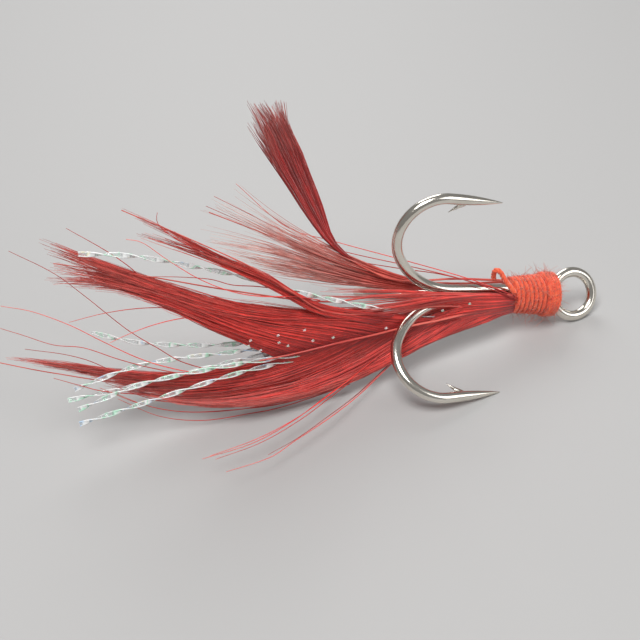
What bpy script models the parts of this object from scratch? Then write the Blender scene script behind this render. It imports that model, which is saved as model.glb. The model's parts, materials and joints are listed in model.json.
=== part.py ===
"""Treble hook dressed with red hackle feathers and pearl flash, lying on a table.

Three hooks of one wire are brazed along their shanks. Two of them and the line eye are one bent wire, and
the third lies in the groove behind them. Thread binds five hackle feathers and six strands of twisted film
round the shanks. Nothing on it pivots or slides.

The part's frame has its origin at the centre of the line eye and +Z up. The hook lies on its eye and on two
of its points, so its shanks slope down to the eye: the empty rest_pose carries that slope. Every piece is
modelled in the shanks' own frame under it, with x along the treble axis to the eye, y level and z up.
Azimuths about the treble axis are counted from +y to +z.
"""
import math

import bmesh
import bpy
from mathutils import Vector

MM = 0.001

# Smallest distances and angles that count when shapes are welded or shaded
WELD_DISTANCE = 1e-7
SHARP_EDGE = math.radians(40)

# The hooks' wire, from the bend's start to the point, and how steeply they may rest
WIRE_DIAMETER = 1.0 * MM
SHANK_LENGTH = 12.7 * MM
FIRST_BEND_RADIUS = 7.4 * MM
REST_BEND_RADIUS = 4.0 * MM
FIRST_BEND_TURN = math.radians(61)
POINT_LEAN = math.radians(3.7)
LIMB_LENGTH = 5.3 * MM
POINT_GROUND_LENGTH = 4.4 * MM
POINT_RADIUS = 0.05 * MM
POINT_SWELL = 0.72
BEND_STEPS = 12
WIRE_BEVEL_STEPS = 3
UPPER_AZIMUTH = math.radians(90)
NEAR_AZIMUTH = math.radians(210)
THIRD_AZIMUTH = math.radians(330)
STEEPEST_REST = math.radians(60)
REST_PRECISION = 1e-9

# The barbs raised on the inner side of each limb
BARB_FROM_POINT = 3.5 * MM
BARB_LENGTH = 1.8 * MM
BARB_RADIUS = 0.24 * MM
BARB_TIP_RADIUS = 0.03 * MM
BARB_ANGLE = math.radians(38)
BARB_SIDES = 8

# The line eye and the braze between the shanks
EYE_RADIUS = 2.15 * MM
EYE_NECK_RADIUS = 2.0 * MM
EYE_STEPS = 26
NECK_STEPS = 4
BRAZE_SEAM = 0.12 * MM
BRAZE_CLEARANCE = 0.03 * MM
BRAZE_RADIUS = 0.62 * MM
BRAZE_SETBACK = 0.6 * MM
BRAZE_SIDES = 24
THIRD_SHANK_SETBACK = 0.4 * MM

# The thread wrap
WRAP_LENGTH = 4.5 * MM
WRAP_OVER_NECK = 0.8 * MM
UNDERWRAP_THICKNESS = 0.2 * MM
UNDERWRAP_ROUNDING = 0.08 * MM
WRAP_SIDES = 24
THREAD_DIAMETER = 0.3 * MM
THREAD_CLEARANCE = 0.03 * MM
WINDING_GAP = 0.43 * MM
LOOP_POINTS = 24
STRAND_BEVEL_STEPS = 1
TAG_DIAMETER = 0.4 * MM
TAG_ROUTE = [(0.35, -1.05, 1.4), (0.7, -0.85, 1.7), (1.0, -0.65, 2.05), (1.4, -0.4, 2.6),
             (1.75, -0.15, 2.85), (1.95, 0.08, 2.7), (1.9, 0.25, 2.2), (1.7, 0.32, 1.62)]

# The stems under the thread
STEM_CLEARANCE = 0.05 * MM
STEM_UNDER_THREAD = 3.6 * MM
QUILL_RADIUS = 0.16 * MM
QUILL_TIP_RADIUS = 0.07 * MM
QUILL_POINT_SPACING = 2.0 * MM

# The vanes: clumps of barbs on a web along the quill
VANE_THICKNESS = 0.2 * MM
VANE_GAP = 0.1 * MM
VANE_POINT_SPACING = 0.2 * MM
VANE_ROWS = 5
VANE_WEB_ROWS = 1
CLUMP_FILL = 0.8
CLUMP_TIP_WIDTH = 0.25

# The flash: narrow film, rolled up under the thread and opening to its full width behind it, twisted
FLASH_WIDTH = 0.42 * MM
FLASH_ROOT_WIDTH = 0.18 * MM
FLASH_OPENING_RUN = 13.0 * MM
FLASH_THICKNESS = 0.1 * MM
FLASH_HALF_TURN = 2.9 * MM
FLASH_POINT_SPACING = 0.95 * MM

# Each feather: the azimuth of its stem under the thread, the way of its quill behind the wrap as
# (millimetres behind the wrap, y, z), and its two vanes. A vane has the side it lies on as a direction, the
# stretch of quill that carries it, its count of clumps, the barbs' lengths at the stretch's start, middle and
# end, and the angles that a barb makes with the quill at its root and at its tip. A vane with a way of its own
# follows that and leaves the quill where the quill curves off.
FEATHERS = {
    "front_hackle": {
        "azimuth": 290,
        "route": [(7.0, 0.3, -2.4), (10.7, 0.15, -3.6), (17.4, 0.1, -5.6), (23.5, 0.2, -6.9),
                  (29.6, 0.2, -8.3), (36.1, 0.2, -9.3), (42.6, 0.2, -7.8), (47.9, 0.2, -6.3)],
        "vanes": {
            "lower": {"side": (0.0, -0.93, -0.36), "stretch": (9.0, 29.0), "clumps": 12,
                      "lengths": (12.0, 13.0, 6.5), "angles": (42, 6)},
            "upper": {"side": (0.0, 0.1, 0.99), "stretch": (5.5, 25.5), "clumps": 4,
                      "lengths": (19.0, 24.0, 22.0), "angles": (31, 19),
                      "way": [(7.0, 0.3, -2.4), (10.7, 0.15, -3.6), (17.4, 0.1, -5.6), (23.5, 0.2, -6.9),
                              (32.0, 0.2, -7.6), (42.0, 0.2, -7.4)]},
        },
    },
    "crest_hackle": {
        "azimuth": 150,
        "route": [(8.0, -1.35, 1.15), (13.9, -1.5, 1.05), (19.5, -1.3, 0.4), (28.2, -1.0, 1.6),
                  (35.5, -1.0, 3.1), (43.3, -1.0, 4.4)],
        "vanes": {
            "lower": {"side": (0.0, -0.05, -1.0), "stretch": (14.5, 41.0), "clumps": 9,
                      "lengths": (7.0, 7.0, 3.0), "angles": (30, 4)},
            "upper": {"side": (0.0, 0.0, 1.0), "stretch": (16.0, 41.0), "clumps": 9,
                      "lengths": (7.0, 6.0, 3.0), "angles": (26, 4)},
        },
    },
    "top_hackle": {
        "azimuth": 198,
        "route": [(4.6, -1.65, -0.2), (8.6, -1.75, -0.05), (13.7, -2.1, -0.5), (19.1, -2.5, 0.1),
                  (23.1, -3.0, 2.7), (27.1, -3.1, 5.3), (32.8, -3.1, 8.1), (38.4, -3.0, 10.6)],
        "vanes": {
            "lower": {"side": (0.0, 0.3, -0.95), "stretch": (16.0, 38.0), "clumps": 8,
                      "lengths": (7.0, 6.0, 3.0), "angles": (20, 4)},
            "upper": {"side": (0.0, -0.1, 1.0), "stretch": (18.0, 38.0), "clumps": 8,
                      "lengths": (6.0, 5.0, 3.0), "angles": (20, 4)},
        },
    },
    "rear_hackle": {
        "azimuth": 30,
        "route": [(4.2, 1.6, 0.3), (8.0, 2.4, 0.0), (12.0, 3.2, -0.1), (17.1, 4.1, 1.3), (22.2, 4.6, 3.4),
                  (29.1, 5.0, 6.0)],
        "vanes": {
            "lower": {"side": (0.0, 0.5, -0.87), "stretch": (13.0, 30.0), "clumps": 8,
                      "lengths": (9.0, 9.0, 5.0), "angles": (34, 8)},
            "upper": {"side": (0.0, 0.3, 0.95), "stretch": (16.0, 30.0), "clumps": 8,
                      "lengths": (9.0, 9.0, 5.0), "angles": (34, 8)},
        },
    },
    "upright_tuft": {
        "azimuth": 60,
        "route": [(5.2, 1.35, 1.0), (10.3, 1.7, 0.6), (13.4, 2.5, 1.2), (16.6, 4.0, 2.9), (21.1, 6.4, 8.7),
                  (22.6, 7.4, 11.6)],
        "vanes": {
            "lower": {"side": (-1.0, 0.0, 0.0), "stretch": (19.5, 29.0), "clumps": 6,
                      "lengths": (6.0, 6.0, 3.8), "angles": (20, 3)},
            "upper": {"side": (1.0, 0.0, 0.0), "stretch": (18.5, 29.0), "clumps": 6,
                      "lengths": (6.0, 6.0, 3.8), "angles": (20, 3)},
        },
    },
}

# Each flash strand: the azimuth of its end under the thread and its way behind the wrap, as for a quill
FLASH = {
    "flash_strand_1": (183, [(6.0, -1.6, 0.45), (10.0, -1.8, 0.7), (13.9, -2.0, 0.1), (18.9, -1.95, 1.1),
                             (22.2, -2.0, 2.0), (27.5, -2.1, 3.7), (36.4, -2.3, 5.8), (41.5, -2.3, 6.1)]),
    "flash_strand_2": (214, [(5.0, -1.4, -1.0), (12.2, -0.9, -2.3), (20.7, -0.7, -3.7), (27.3, -0.6, -4.6),
                             (34.8, -0.5, -4.3), (39.7, -0.5, -3.0)]),
    "flash_strand_3": (227, [(5.0, -1.3, -1.45), (12.2, -1.45, -2.6), (20.7, -1.3, -4.2), (26.5, -1.2, -5.0),
                             (34.7, -1.0, -6.2), (40.9, -1.1, -8.7)]),
    "flash_strand_4": (240, [(5.0, -0.9, -1.7), (12.2, -0.75, -2.95), (20.7, -0.95, -5.0), (26.5, -1.0, -6.2),
                             (34.6, -1.1, -8.3), (41.4, -1.0, -10.0)]),
    "flash_strand_5": (253, [(5.0, -0.75, -2.15), (12.2, -1.35, -3.25), (20.7, -1.75, -5.1),
                             (26.5, -1.9, -5.9), (34.7, -2.1, -7.5), (40.6, -2.0, -10.3)]),
    "flash_strand_6": (266, [(5.0, -0.2, -2.25), (12.2, -0.65, -3.6), (20.7, -1.45, -5.8), (26.5, -1.9, -7.0),
                             (33.0, -2.5, -8.8), (40.5, -2.7, -11.4)]),
}

# Sizes that follow from those above
WIRE_RADIUS = WIRE_DIAMETER / 2
THREAD_RADIUS = THREAD_DIAMETER / 2
SHANK_OFFSET = (WIRE_DIAMETER + BRAZE_SEAM) / math.sqrt(3)
BEND_START = -SHANK_LENGTH
STEM_OFFSET = SHANK_OFFSET + WIRE_RADIUS + STEM_CLEARANCE + QUILL_RADIUS
UNDERWRAP_BORE = STEM_OFFSET + QUILL_RADIUS + STEM_CLEARANCE
UNDERWRAP_RADIUS = UNDERWRAP_BORE + UNDERWRAP_THICKNESS
SHANK_HALF_GAP = (WIRE_DIAMETER + BRAZE_SEAM) / 2
NECK_TO_EYE = EYE_RADIUS + EYE_NECK_RADIUS
NECK_TO_AXIS = SHANK_HALF_GAP + EYE_NECK_RADIUS
EYE_NECK_START = -math.sqrt(NECK_TO_EYE ** 2 - NECK_TO_AXIS ** 2)
WRAP_FRONT = EYE_NECK_START + WRAP_OVER_NECK
WRAP_REAR = WRAP_FRONT - WRAP_LENGTH
WINDING_PITCH = THREAD_DIAMETER + WINDING_GAP
EYE_AZIMUTH = (UPPER_AZIMUTH + NEAR_AZIMUTH) / 2
THIRD_SHANK_END = EYE_NECK_START - THIRD_SHANK_SETBACK


def radial(azimuth):
    """Unit vector away from the treble axis."""
    return Vector((0, math.cos(azimuth), math.sin(azimuth)))


EYE_CENTRE = radial(EYE_AZIMUTH) * (SHANK_OFFSET * math.cos(EYE_AZIMUTH - UPPER_AZIMUTH))
EYE_ACROSS = (radial(UPPER_AZIMUTH) - radial(NEAR_AZIMUTH)).normalized()
ALONG = Vector((1, 0, 0))


def hook_profile():
    """One hook's centre-line from its shank's end to its point, as (x, distance from the treble axis)."""
    points = [(BEND_START, SHANK_OFFSET)]
    heading = math.pi
    rest_bend_turn = math.pi + POINT_LEAN - FIRST_BEND_TURN
    for turn, radius in ((FIRST_BEND_TURN, FIRST_BEND_RADIUS), (rest_bend_turn, REST_BEND_RADIUS)):
        step = turn / BEND_STEPS
        for _ in range(BEND_STEPS):
            chord = 2 * radius * math.sin(step / 2)
            middle = heading - step / 2
            x, out = points[-1]
            points.append((x + chord * math.cos(middle), out + chord * math.sin(middle)))
            heading -= step
    bend_end = points[-1]
    for reach in (LIMB_LENGTH - POINT_GROUND_LENGTH, LIMB_LENGTH - POINT_GROUND_LENGTH / 2, LIMB_LENGTH):
        points.append((bend_end[0] + reach * math.cos(heading), bend_end[1] + reach * math.sin(heading)))
    return points


PROFILE = hook_profile()


def rest_slope():
    """Slope of the shanks when the eye and two points touch the table, and the table's height on the axis."""
    tip_x, tip_out = PROFILE[-1]
    tip_z = tip_out * math.sin(NEAR_AZIMUTH)

    def tip_height(slope):
        return -tip_x * math.sin(slope) + tip_z * math.cos(slope) - POINT_RADIUS

    def eye_height(slope):
        reach = math.hypot(math.sin(slope), EYE_ACROSS.z * math.cos(slope))
        return EYE_CENTRE.z * math.cos(slope) - EYE_RADIUS * reach - WIRE_RADIUS

    low, high = 0.0, STEEPEST_REST
    while high - low > REST_PRECISION:
        middle = (low + high) / 2
        if eye_height(middle) > tip_height(middle):
            low = middle
        else:
            high = middle
    return low, tip_height(low)


SLOPE, TABLE_BELOW_AXIS = rest_slope()


def clear_scene():
    for obj in list(bpy.data.objects):
        bpy.data.objects.remove(obj)


def new_collection(name):
    collection = bpy.data.collections.new(name)
    bpy.context.scene.collection.children.link(collection)
    return collection


def finish(name, colour, roughness, metallic=0.0):
    mat = bpy.data.materials.new(name)
    mat.use_nodes = True
    shader = mat.node_tree.nodes["Principled BSDF"]
    shader.inputs["Base Color"].default_value = (*colour, 1)
    shader.inputs["Roughness"].default_value = roughness
    shader.inputs["Metallic"].default_value = metallic
    return mat


clear_scene()
PARTS = new_collection("treble_hook")
CUTTERS = new_collection("cutters")
REST_POSE = bpy.data.objects.new("rest_pose", None)
PARTS.objects.link(REST_POSE)
REST_POSE.rotation_euler = (0, SLOPE, 0)
REST_POSE.location = -(REST_POSE.rotation_euler.to_matrix() @ EYE_CENTRE)

NICKEL = finish("nickel_plate", (0.72, 0.69, 0.62), 0.12, 1.0)
BRAZE = finish("braze", (0.70, 0.60, 0.38), 0.3, 1.0)
THREAD = finish("red_thread", (0.75, 0.09, 0.04), 0.7)
QUILL = finish("red_quill", (0.55, 0.05, 0.04), 0.4)
BARBS = finish("red_barbs", (0.58, 0.03, 0.03), 0.6)
FILM = finish("pearl_film", (0.85, 0.90, 0.86), 0.15)


def add(name, data, mat, smooth=True):
    """A named piece in the shanks' frame."""
    obj = bpy.data.objects.new(name, data)
    data.materials.append(mat)
    PARTS.objects.link(obj)
    obj.parent = REST_POSE
    if smooth and isinstance(data, bpy.types.Mesh):
        data.shade_smooth()
        data.set_sharp_from_angle(angle=SHARP_EDGE)
    return obj


def tube_curve(name, points, radii, bevel_resolution):
    """A wire along points, with its own radius at each, as a curve."""
    curve = bpy.data.curves.new(name, "CURVE")
    curve.dimensions = "3D"
    curve.bevel_depth = max(radii)
    curve.bevel_resolution = bevel_resolution
    curve.use_fill_caps = True
    spline = curve.splines.new("POLY")
    spline.points.add(len(points) - 1)
    for point, place, radius in zip(spline.points, points, radii):
        point.co = (*place, 1)
        point.radius = radius / curve.bevel_depth
    return curve


def curve_to_mesh(curve):
    """The curve's surface as a closed mesh, its caps welded on."""
    carrier = bpy.data.objects.new("carrier", curve)
    bpy.context.scene.collection.objects.link(carrier)
    bpy.context.view_layer.update()
    evaluated = carrier.evaluated_get(bpy.context.evaluated_depsgraph_get())
    mesh = bpy.data.meshes.new_from_object(evaluated)
    bpy.data.objects.remove(carrier)
    shape = bmesh.new()
    shape.from_mesh(mesh)
    bmesh.ops.remove_doubles(shape, verts=shape.verts, dist=WELD_DISTANCE)
    shape.to_mesh(mesh)
    shape.free()
    return mesh


def cutter(name, mesh):
    """A hidden shape for a Boolean, in the shanks' frame."""
    obj = bpy.data.objects.new(name, mesh)
    CUTTERS.objects.link(obj)
    obj.parent = REST_POSE
    obj.hide_render = True
    obj.display_type = "WIRE"
    return obj


def boolean(obj, tool, operation):
    modifier = obj.modifiers.new(tool.name, "BOOLEAN")
    modifier.operation = operation
    modifier.object = tool
    modifier.solver = "EXACT"


def rod_mesh(name, start, end, radius, end_radius, sides):
    """A closed rod or cone between two points."""
    shape = bmesh.new()
    length = (end - start).length
    bmesh.ops.create_cone(shape, cap_ends=True, segments=sides, radius1=radius, radius2=end_radius,
                          depth=length)
    turn = Vector((0, 0, 1)).rotation_difference(end - start).to_matrix().to_4x4()
    bmesh.ops.transform(shape, matrix=turn, verts=shape.verts)
    bmesh.ops.translate(shape, vec=(start + end) / 2, verts=shape.verts)
    mesh = bpy.data.meshes.new(name)
    shape.to_mesh(mesh)
    shape.free()
    return mesh


def hook_points(azimuth):
    """A hook's centre-line from its shank's end to its point, with the wire's radius at each point."""
    places = [Vector((x, 0, 0)) + radial(azimuth) * out for x, out in PROFILE]
    radii = [WIRE_RADIUS] * (len(PROFILE) - 2) + [WIRE_RADIUS * POINT_SWELL, POINT_RADIUS]
    return places, radii


def barb_cutter(name, azimuth):
    """The sliver raised on the inner side of a limb, pointing back to the bend."""
    tip, before = hook_points(azimuth)[0][-1], hook_points(azimuth)[0][-4]
    back = (before - tip).normalized()
    inward = -(radial(azimuth) - back * radial(azimuth).dot(back)).normalized()
    lean = back * math.cos(BARB_ANGLE) + inward * math.sin(BARB_ANGLE)
    root = tip + back * BARB_FROM_POINT + inward * BARB_RADIUS / 2
    end = root + lean * BARB_LENGTH
    return cutter(name, rod_mesh(name, root, end, BARB_RADIUS, BARB_TIP_RADIUS, BARB_SIDES))


def eye_points():
    """The wire from the upper shank round the eye to the near shank."""
    swing = math.acos(NECK_TO_AXIS / NECK_TO_EYE)
    neck = []
    for k in range(NECK_STEPS):
        turn = swing * k / NECK_STEPS
        x = EYE_NECK_START + EYE_NECK_RADIUS * math.sin(turn)
        neck.append((x, SHANK_HALF_GAP + EYE_NECK_RADIUS * (1 - math.cos(turn))))
    ring_start = math.pi / 2 + swing
    ring = [ring_start - 2 * ring_start * k / EYE_STEPS for k in range(EYE_STEPS + 1)]
    half = neck + [(EYE_RADIUS * math.cos(a), EYE_RADIUS * math.sin(a)) for a in ring]
    flat = half + [(x, -across) for x, across in reversed(neck)]
    return [EYE_CENTRE + ALONG * x + EYE_ACROSS * across for x, across in flat]


def make_double_hook():
    upper, upper_radii = hook_points(UPPER_AZIMUTH)
    near, near_radii = hook_points(NEAR_AZIMUTH)
    eye = eye_points()
    points = upper[::-1] + eye + near
    radii = upper_radii[::-1] + [WIRE_RADIUS] * len(eye) + near_radii
    wire = tube_curve("double_hook", points, radii, WIRE_BEVEL_STEPS)
    obj = add("double_hook", curve_to_mesh(wire), NICKEL)
    boolean(obj, barb_cutter("upper_barb", UPPER_AZIMUTH), "UNION")
    boolean(obj, barb_cutter("near_barb", NEAR_AZIMUTH), "UNION")


def make_third_hook():
    points, radii = hook_points(THIRD_AZIMUTH)
    shank_end = ALONG * THIRD_SHANK_END + radial(THIRD_AZIMUTH) * SHANK_OFFSET
    points = [shank_end] + points
    radii = [WIRE_RADIUS] + radii
    wire = tube_curve("third_hook", points, radii, WIRE_BEVEL_STEPS)
    obj = add("third_hook", curve_to_mesh(wire), NICKEL)
    boolean(obj, barb_cutter("third_barb", THIRD_AZIMUTH), "UNION")


def make_braze_fillet():
    """A rod along the treble axis, hollowed by the three shanks."""
    start = ALONG * (BEND_START + BRAZE_SETBACK)
    end = ALONG * (THIRD_SHANK_END - BRAZE_SETBACK)
    rod = rod_mesh("braze_fillet", start, end, BRAZE_RADIUS, BRAZE_RADIUS, BRAZE_SIDES)
    obj = add("braze_fillet", rod, BRAZE)
    for name, azimuth in (("upper", UPPER_AZIMUTH), ("near", NEAR_AZIMUTH), ("third", THIRD_AZIMUTH)):
        side = radial(azimuth) * SHANK_OFFSET
        room = WIRE_RADIUS + BRAZE_CLEARANCE
        past_ends = ALONG * BRAZE_SETBACK
        shank = rod_mesh(name, start + side - past_ends, end + side + past_ends, room, room, BRAZE_SIDES)
        boolean(obj, cutter(name + "_shank_groove", shank), "DIFFERENCE")


def make_thread_underwrap():
    """A sleeve over the stems, turned about the treble axis."""
    edge = UNDERWRAP_ROUNDING
    outer, bore = UNDERWRAP_RADIUS, UNDERWRAP_BORE
    section = [(outer, WRAP_FRONT - edge), (outer, WRAP_REAR + edge), (outer - edge, WRAP_REAR),
               (bore, WRAP_REAR), (bore, WRAP_FRONT), (outer - edge, WRAP_FRONT)]
    mesh = bpy.data.meshes.new("thread_underwrap")
    edges = [(k, (k + 1) % len(section)) for k in range(len(section))]
    mesh.from_pydata([(x, 0, out) for out, x in section], edges, [])
    obj = add("thread_underwrap", mesh, THREAD)
    screw = obj.modifiers.new("turn", "SCREW")
    screw.axis = "X"
    screw.steps = WRAP_SIDES
    screw.render_steps = WRAP_SIDES
    screw.use_merge_vertices = True
    screw.merge_threshold = WELD_DISTANCE
    screw.use_normal_calculate = True


def winding_points():
    """A helix over the sleeve whose two ends run straight for one thread diameter."""
    radius = UNDERWRAP_RADIUS + THREAD_CLEARANCE + THREAD_RADIUS
    turns = (WRAP_LENGTH - 2 * THREAD_DIAMETER) / WINDING_PITCH
    steps = round(turns * LOOP_POINTS)
    start = WRAP_REAR + THREAD_DIAMETER
    points = []
    for k in range(steps + 1):
        angle = math.tau * k / LOOP_POINTS
        points.append(ALONG * (start + WINDING_PITCH * k / LOOP_POINTS) + radial(angle) * radius)
    first = points[0] + (points[0] - points[1]).normalized() * THREAD_DIAMETER
    last = points[-1] + (points[-1] - points[-2]).normalized() * THREAD_DIAMETER
    return [first] + points + [last]


def least_gap(points, diameter, apart):
    """Least clear gap between points of one tube that are more than `apart` places from each other."""
    nearest = min((a - b).length for k, a in enumerate(points) for b in points[k + apart:])
    return nearest - diameter


def make_thread_winding():
    points = winding_points()
    gap = least_gap(points, THREAD_DIAMETER, LOOP_POINTS // 2)
    print("thread_winding least gap to itself: %.3f mm" % (gap / MM))
    radii = [THREAD_RADIUS] * len(points)
    add("thread_winding", tube_curve("thread_winding", points, radii, STRAND_BEVEL_STEPS), THREAD)


def behind_wrap(point):
    """A point written as (millimetres behind the wrap, y, z)."""
    behind, y, z = point
    return Vector((WRAP_REAR - behind * MM, y * MM, z * MM))


def smooth_route(points, spacing):
    """Points about `spacing` apart on one smooth curve through the route's own points."""
    ends = [points[0] * 2 - points[1]] + points + [points[-1] * 2 - points[-2]]
    route = []
    for a, b, c, d in zip(ends, ends[1:], ends[2:], ends[3:]):
        steps = max(1, round((c - b).length / spacing))
        for k in range(steps):
            t = k / steps
            bend = (a * 2 - b * 5 + c * 4 - d) * t ** 2 + (b * 3 - a - c * 3 + d) * t ** 3
            route.append(b + ((c - a) * t + bend) / 2)
    return route + [points[-1]]


def stem_route(azimuth, route):
    """A stem's way: straight under the thread, then behind the wrap."""
    place = radial(math.radians(azimuth)) * STEM_OFFSET
    inside = ALONG * (WRAP_REAR + STEM_UNDER_THREAD) + place
    mouth = ALONG * (WRAP_REAR - STEM_CLEARANCE) + place
    return [inside, mouth] + [behind_wrap(point) for point in route]


def make_thread_tag():
    points = smooth_route([behind_wrap(point) for point in TAG_ROUTE], TAG_DIAMETER)
    radii = [TAG_DIAMETER / 2] * len(points)
    add("thread_tag", tube_curve("thread_tag", points, radii, STRAND_BEVEL_STEPS), THREAD)


def at_distance(route, distance):
    """The place and the direction of a route at a distance along it, or straight on past its end."""
    for a, b in zip(route, route[1:]):
        length = (b - a).length
        direction = (b - a) / length
        if distance <= length:
            return a + direction * distance, direction
        distance -= length
    return b + direction * distance, direction


def between(values, share):
    """A smooth value through three given at the start, the middle and the end."""
    first, middle, last = values
    rise = first * (1 - share) * (1 - 2 * share) + last * share * (2 * share - 1)
    return rise + 4 * middle * share * (1 - share)


def barb_reach(angles, share):
    """How far a barb of length 1 has run along the quill and out from it, at a share of its length."""
    start, end = (math.radians(angle) for angle in angles)
    angle = start + (end - start) * share
    along = (math.sin(angle) - math.sin(start)) / (end - start)
    out = (math.cos(start) - math.cos(angle)) / (end - start)
    return along, out


def make_vane(name, quill, vane):
    """One side of a feather: clumps of barbs that bend with the quill and share a web, thickened."""
    start, end = (distance * MM + STEM_UNDER_THREAD for distance in vane["stretch"])
    clumps = vane["clumps"]
    pitch = (end - start) / clumps
    across = Vector(vane["side"])
    shape = bmesh.new()
    columns = []
    for clump in range(clumps):
        length = between(vane["lengths"], clump / (clumps - 1)) * MM
        middle = start + pitch * (clump + 0.5)
        for edge in (-0.5, 0.5):
            column = []
            for row in range(VANE_ROWS + 1):
                share = row / VANE_ROWS
                along, out = barb_reach(vane["angles"], share)
                narrow = 1 - (1 - CLUMP_TIP_WIDTH) * share
                root = middle + edge * pitch * CLUMP_FILL * narrow
                place, direction = at_distance(quill, root + along * length)
                side = (across - direction * across.dot(direction)).normalized()
                column.append(shape.verts.new(place + side * (QUILL_RADIUS + VANE_GAP + out * length)))
            columns.append(column)
    for k, (left, right) in enumerate(zip(columns, columns[1:])):
        rows = VANE_ROWS if k % 2 == 0 else VANE_WEB_ROWS
        for row in range(rows):
            shape.faces.new((left[row], right[row], right[row + 1], left[row + 1]))
    mesh = bpy.data.meshes.new(name)
    shape.to_mesh(mesh)
    shape.free()
    obj = add(name, mesh, BARBS)
    solidify = obj.modifiers.new("thickness", "SOLIDIFY")
    solidify.thickness = VANE_THICKNESS
    solidify.offset = 0


def make_feather(name, feather):
    way = stem_route(feather["azimuth"], feather["route"])
    points = smooth_route(way, QUILL_POINT_SPACING)
    radii = []
    for k in range(len(points)):
        radii.append(QUILL_RADIUS + (QUILL_TIP_RADIUS - QUILL_RADIUS) * k / (len(points) - 1))
    add(name + "_quill", tube_curve(name + "_quill", points, radii, STRAND_BEVEL_STEPS), QUILL)
    for side, vane in feather["vanes"].items():
        line = stem_route(feather["azimuth"], vane.get("way", feather["route"]))
        make_vane(name + "_" + side + "_vane", smooth_route(line, VANE_POINT_SPACING), vane)


def make_flash(name, azimuth, route):
    """A strand that stands on edge under the thread and twists and opens behind it."""
    points = smooth_route(stem_route(azimuth, route), FLASH_POINT_SPACING)
    shape = bmesh.new()
    pairs = []
    behind = -STEM_UNDER_THREAD
    upright = radial(math.radians(azimuth))
    for k, place in enumerate(points):
        step = points[min(k + 1, len(points) - 1)] - points[max(k - 1, 0)]
        direction = step.normalized()
        flat = (upright - direction * upright.dot(direction)).normalized()
        twist = math.pi * max(behind, 0) / FLASH_HALF_TURN
        opening = min(max(behind, 0) / FLASH_OPENING_RUN, 1)
        width = FLASH_ROOT_WIDTH + (FLASH_WIDTH - FLASH_ROOT_WIDTH) * opening
        half = (flat * math.cos(twist) + direction.cross(flat) * math.sin(twist)) * width / 2
        pairs.append((shape.verts.new(place - half), shape.verts.new(place + half)))
        if k + 1 < len(points):
            behind += (points[k + 1] - place).length
    for (a, b), (c, d) in zip(pairs, pairs[1:]):
        shape.faces.new((a, b, d, c))
    mesh = bpy.data.meshes.new(name)
    shape.to_mesh(mesh)
    shape.free()
    obj = add(name, mesh, FILM)
    solidify = obj.modifiers.new("thickness", "SOLIDIFY")
    solidify.thickness = FLASH_THICKNESS
    solidify.offset = 0


make_double_hook()
make_third_hook()
make_braze_fillet()
make_thread_underwrap()
make_thread_winding()
make_thread_tag()
for feather_name, feather_sizes in FEATHERS.items():
    make_feather(feather_name, feather_sizes)
for strand_name, (strand_azimuth, strand_route) in FLASH.items():
    make_flash(strand_name, strand_azimuth, strand_route)
print("shanks slope %.2f degrees" % math.degrees(SLOPE))
print("table %.2f mm below the treble axis" % (-TABLE_BELOW_AXIS / MM))
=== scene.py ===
# %% [markdown]
# A treble hook dressed with red feathers
#
# Three nickel-plated hooks are brazed back to back. Red thread binds hackle feathers and strands of
# twisted pearl film round their shanks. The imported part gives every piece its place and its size. This
# script gives the pieces their looks: fine wire, wound thread, thousands of barbs and film that twists.

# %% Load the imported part
import json
import math

import bpy
from mathutils import Matrix, Vector


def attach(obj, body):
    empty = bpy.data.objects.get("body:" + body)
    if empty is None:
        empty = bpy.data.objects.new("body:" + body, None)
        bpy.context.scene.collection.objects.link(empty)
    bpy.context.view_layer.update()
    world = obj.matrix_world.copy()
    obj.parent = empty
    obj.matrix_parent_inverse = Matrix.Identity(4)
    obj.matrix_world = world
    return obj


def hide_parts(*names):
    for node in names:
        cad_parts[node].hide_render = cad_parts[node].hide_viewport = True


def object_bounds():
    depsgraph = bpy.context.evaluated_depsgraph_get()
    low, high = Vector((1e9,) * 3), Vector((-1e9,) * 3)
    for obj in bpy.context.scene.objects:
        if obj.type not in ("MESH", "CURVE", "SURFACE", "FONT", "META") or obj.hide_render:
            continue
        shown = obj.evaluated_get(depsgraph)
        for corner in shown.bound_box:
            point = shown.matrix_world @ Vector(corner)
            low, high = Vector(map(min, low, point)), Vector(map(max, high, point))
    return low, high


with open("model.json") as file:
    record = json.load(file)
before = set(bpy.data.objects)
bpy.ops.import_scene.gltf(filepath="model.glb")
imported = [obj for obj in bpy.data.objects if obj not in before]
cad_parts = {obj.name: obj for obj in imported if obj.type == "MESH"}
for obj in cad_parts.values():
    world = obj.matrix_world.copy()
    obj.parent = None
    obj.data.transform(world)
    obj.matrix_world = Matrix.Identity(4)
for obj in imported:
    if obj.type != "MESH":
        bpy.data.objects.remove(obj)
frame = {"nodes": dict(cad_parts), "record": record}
cad_low, cad_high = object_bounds()
print("solid pieces:", len(frame["nodes"]), "size in mm:", [round(s * 1000, 1) for s in cad_high - cad_low])

# %% [markdown]
# The shanks' own frame
#
# The hook lies on its eye and on two of its points, so its shanks slope. It is easier to think along the
# shanks: x runs to the eye, y away from the camera and z up, with the treble axis at y = z = 0. The slope
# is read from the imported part's line eye, and one matrix then carries points from the shanks' frame to
# the table's.

# %% From the shanks to the table
MM = 0.001
WIRE_RADIUS = 0.5 * MM
BRAZE_SEAM = 0.12 * MM
EYE_RADIUS = 2.15 * MM
EYE_NECK_RADIUS = 2.0 * MM
SHANK_HALF_GAP = WIRE_RADIUS + BRAZE_SEAM / 2
SHANK_OFFSET = SHANK_HALF_GAP * 2 / math.sqrt(3)
UPPER_AZIMUTH, NEAR_AZIMUTH, THIRD_AZIMUTH = 90, 210, 330
EYE_AZIMUTH = (UPPER_AZIMUTH + NEAR_AZIMUTH) / 2


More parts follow.
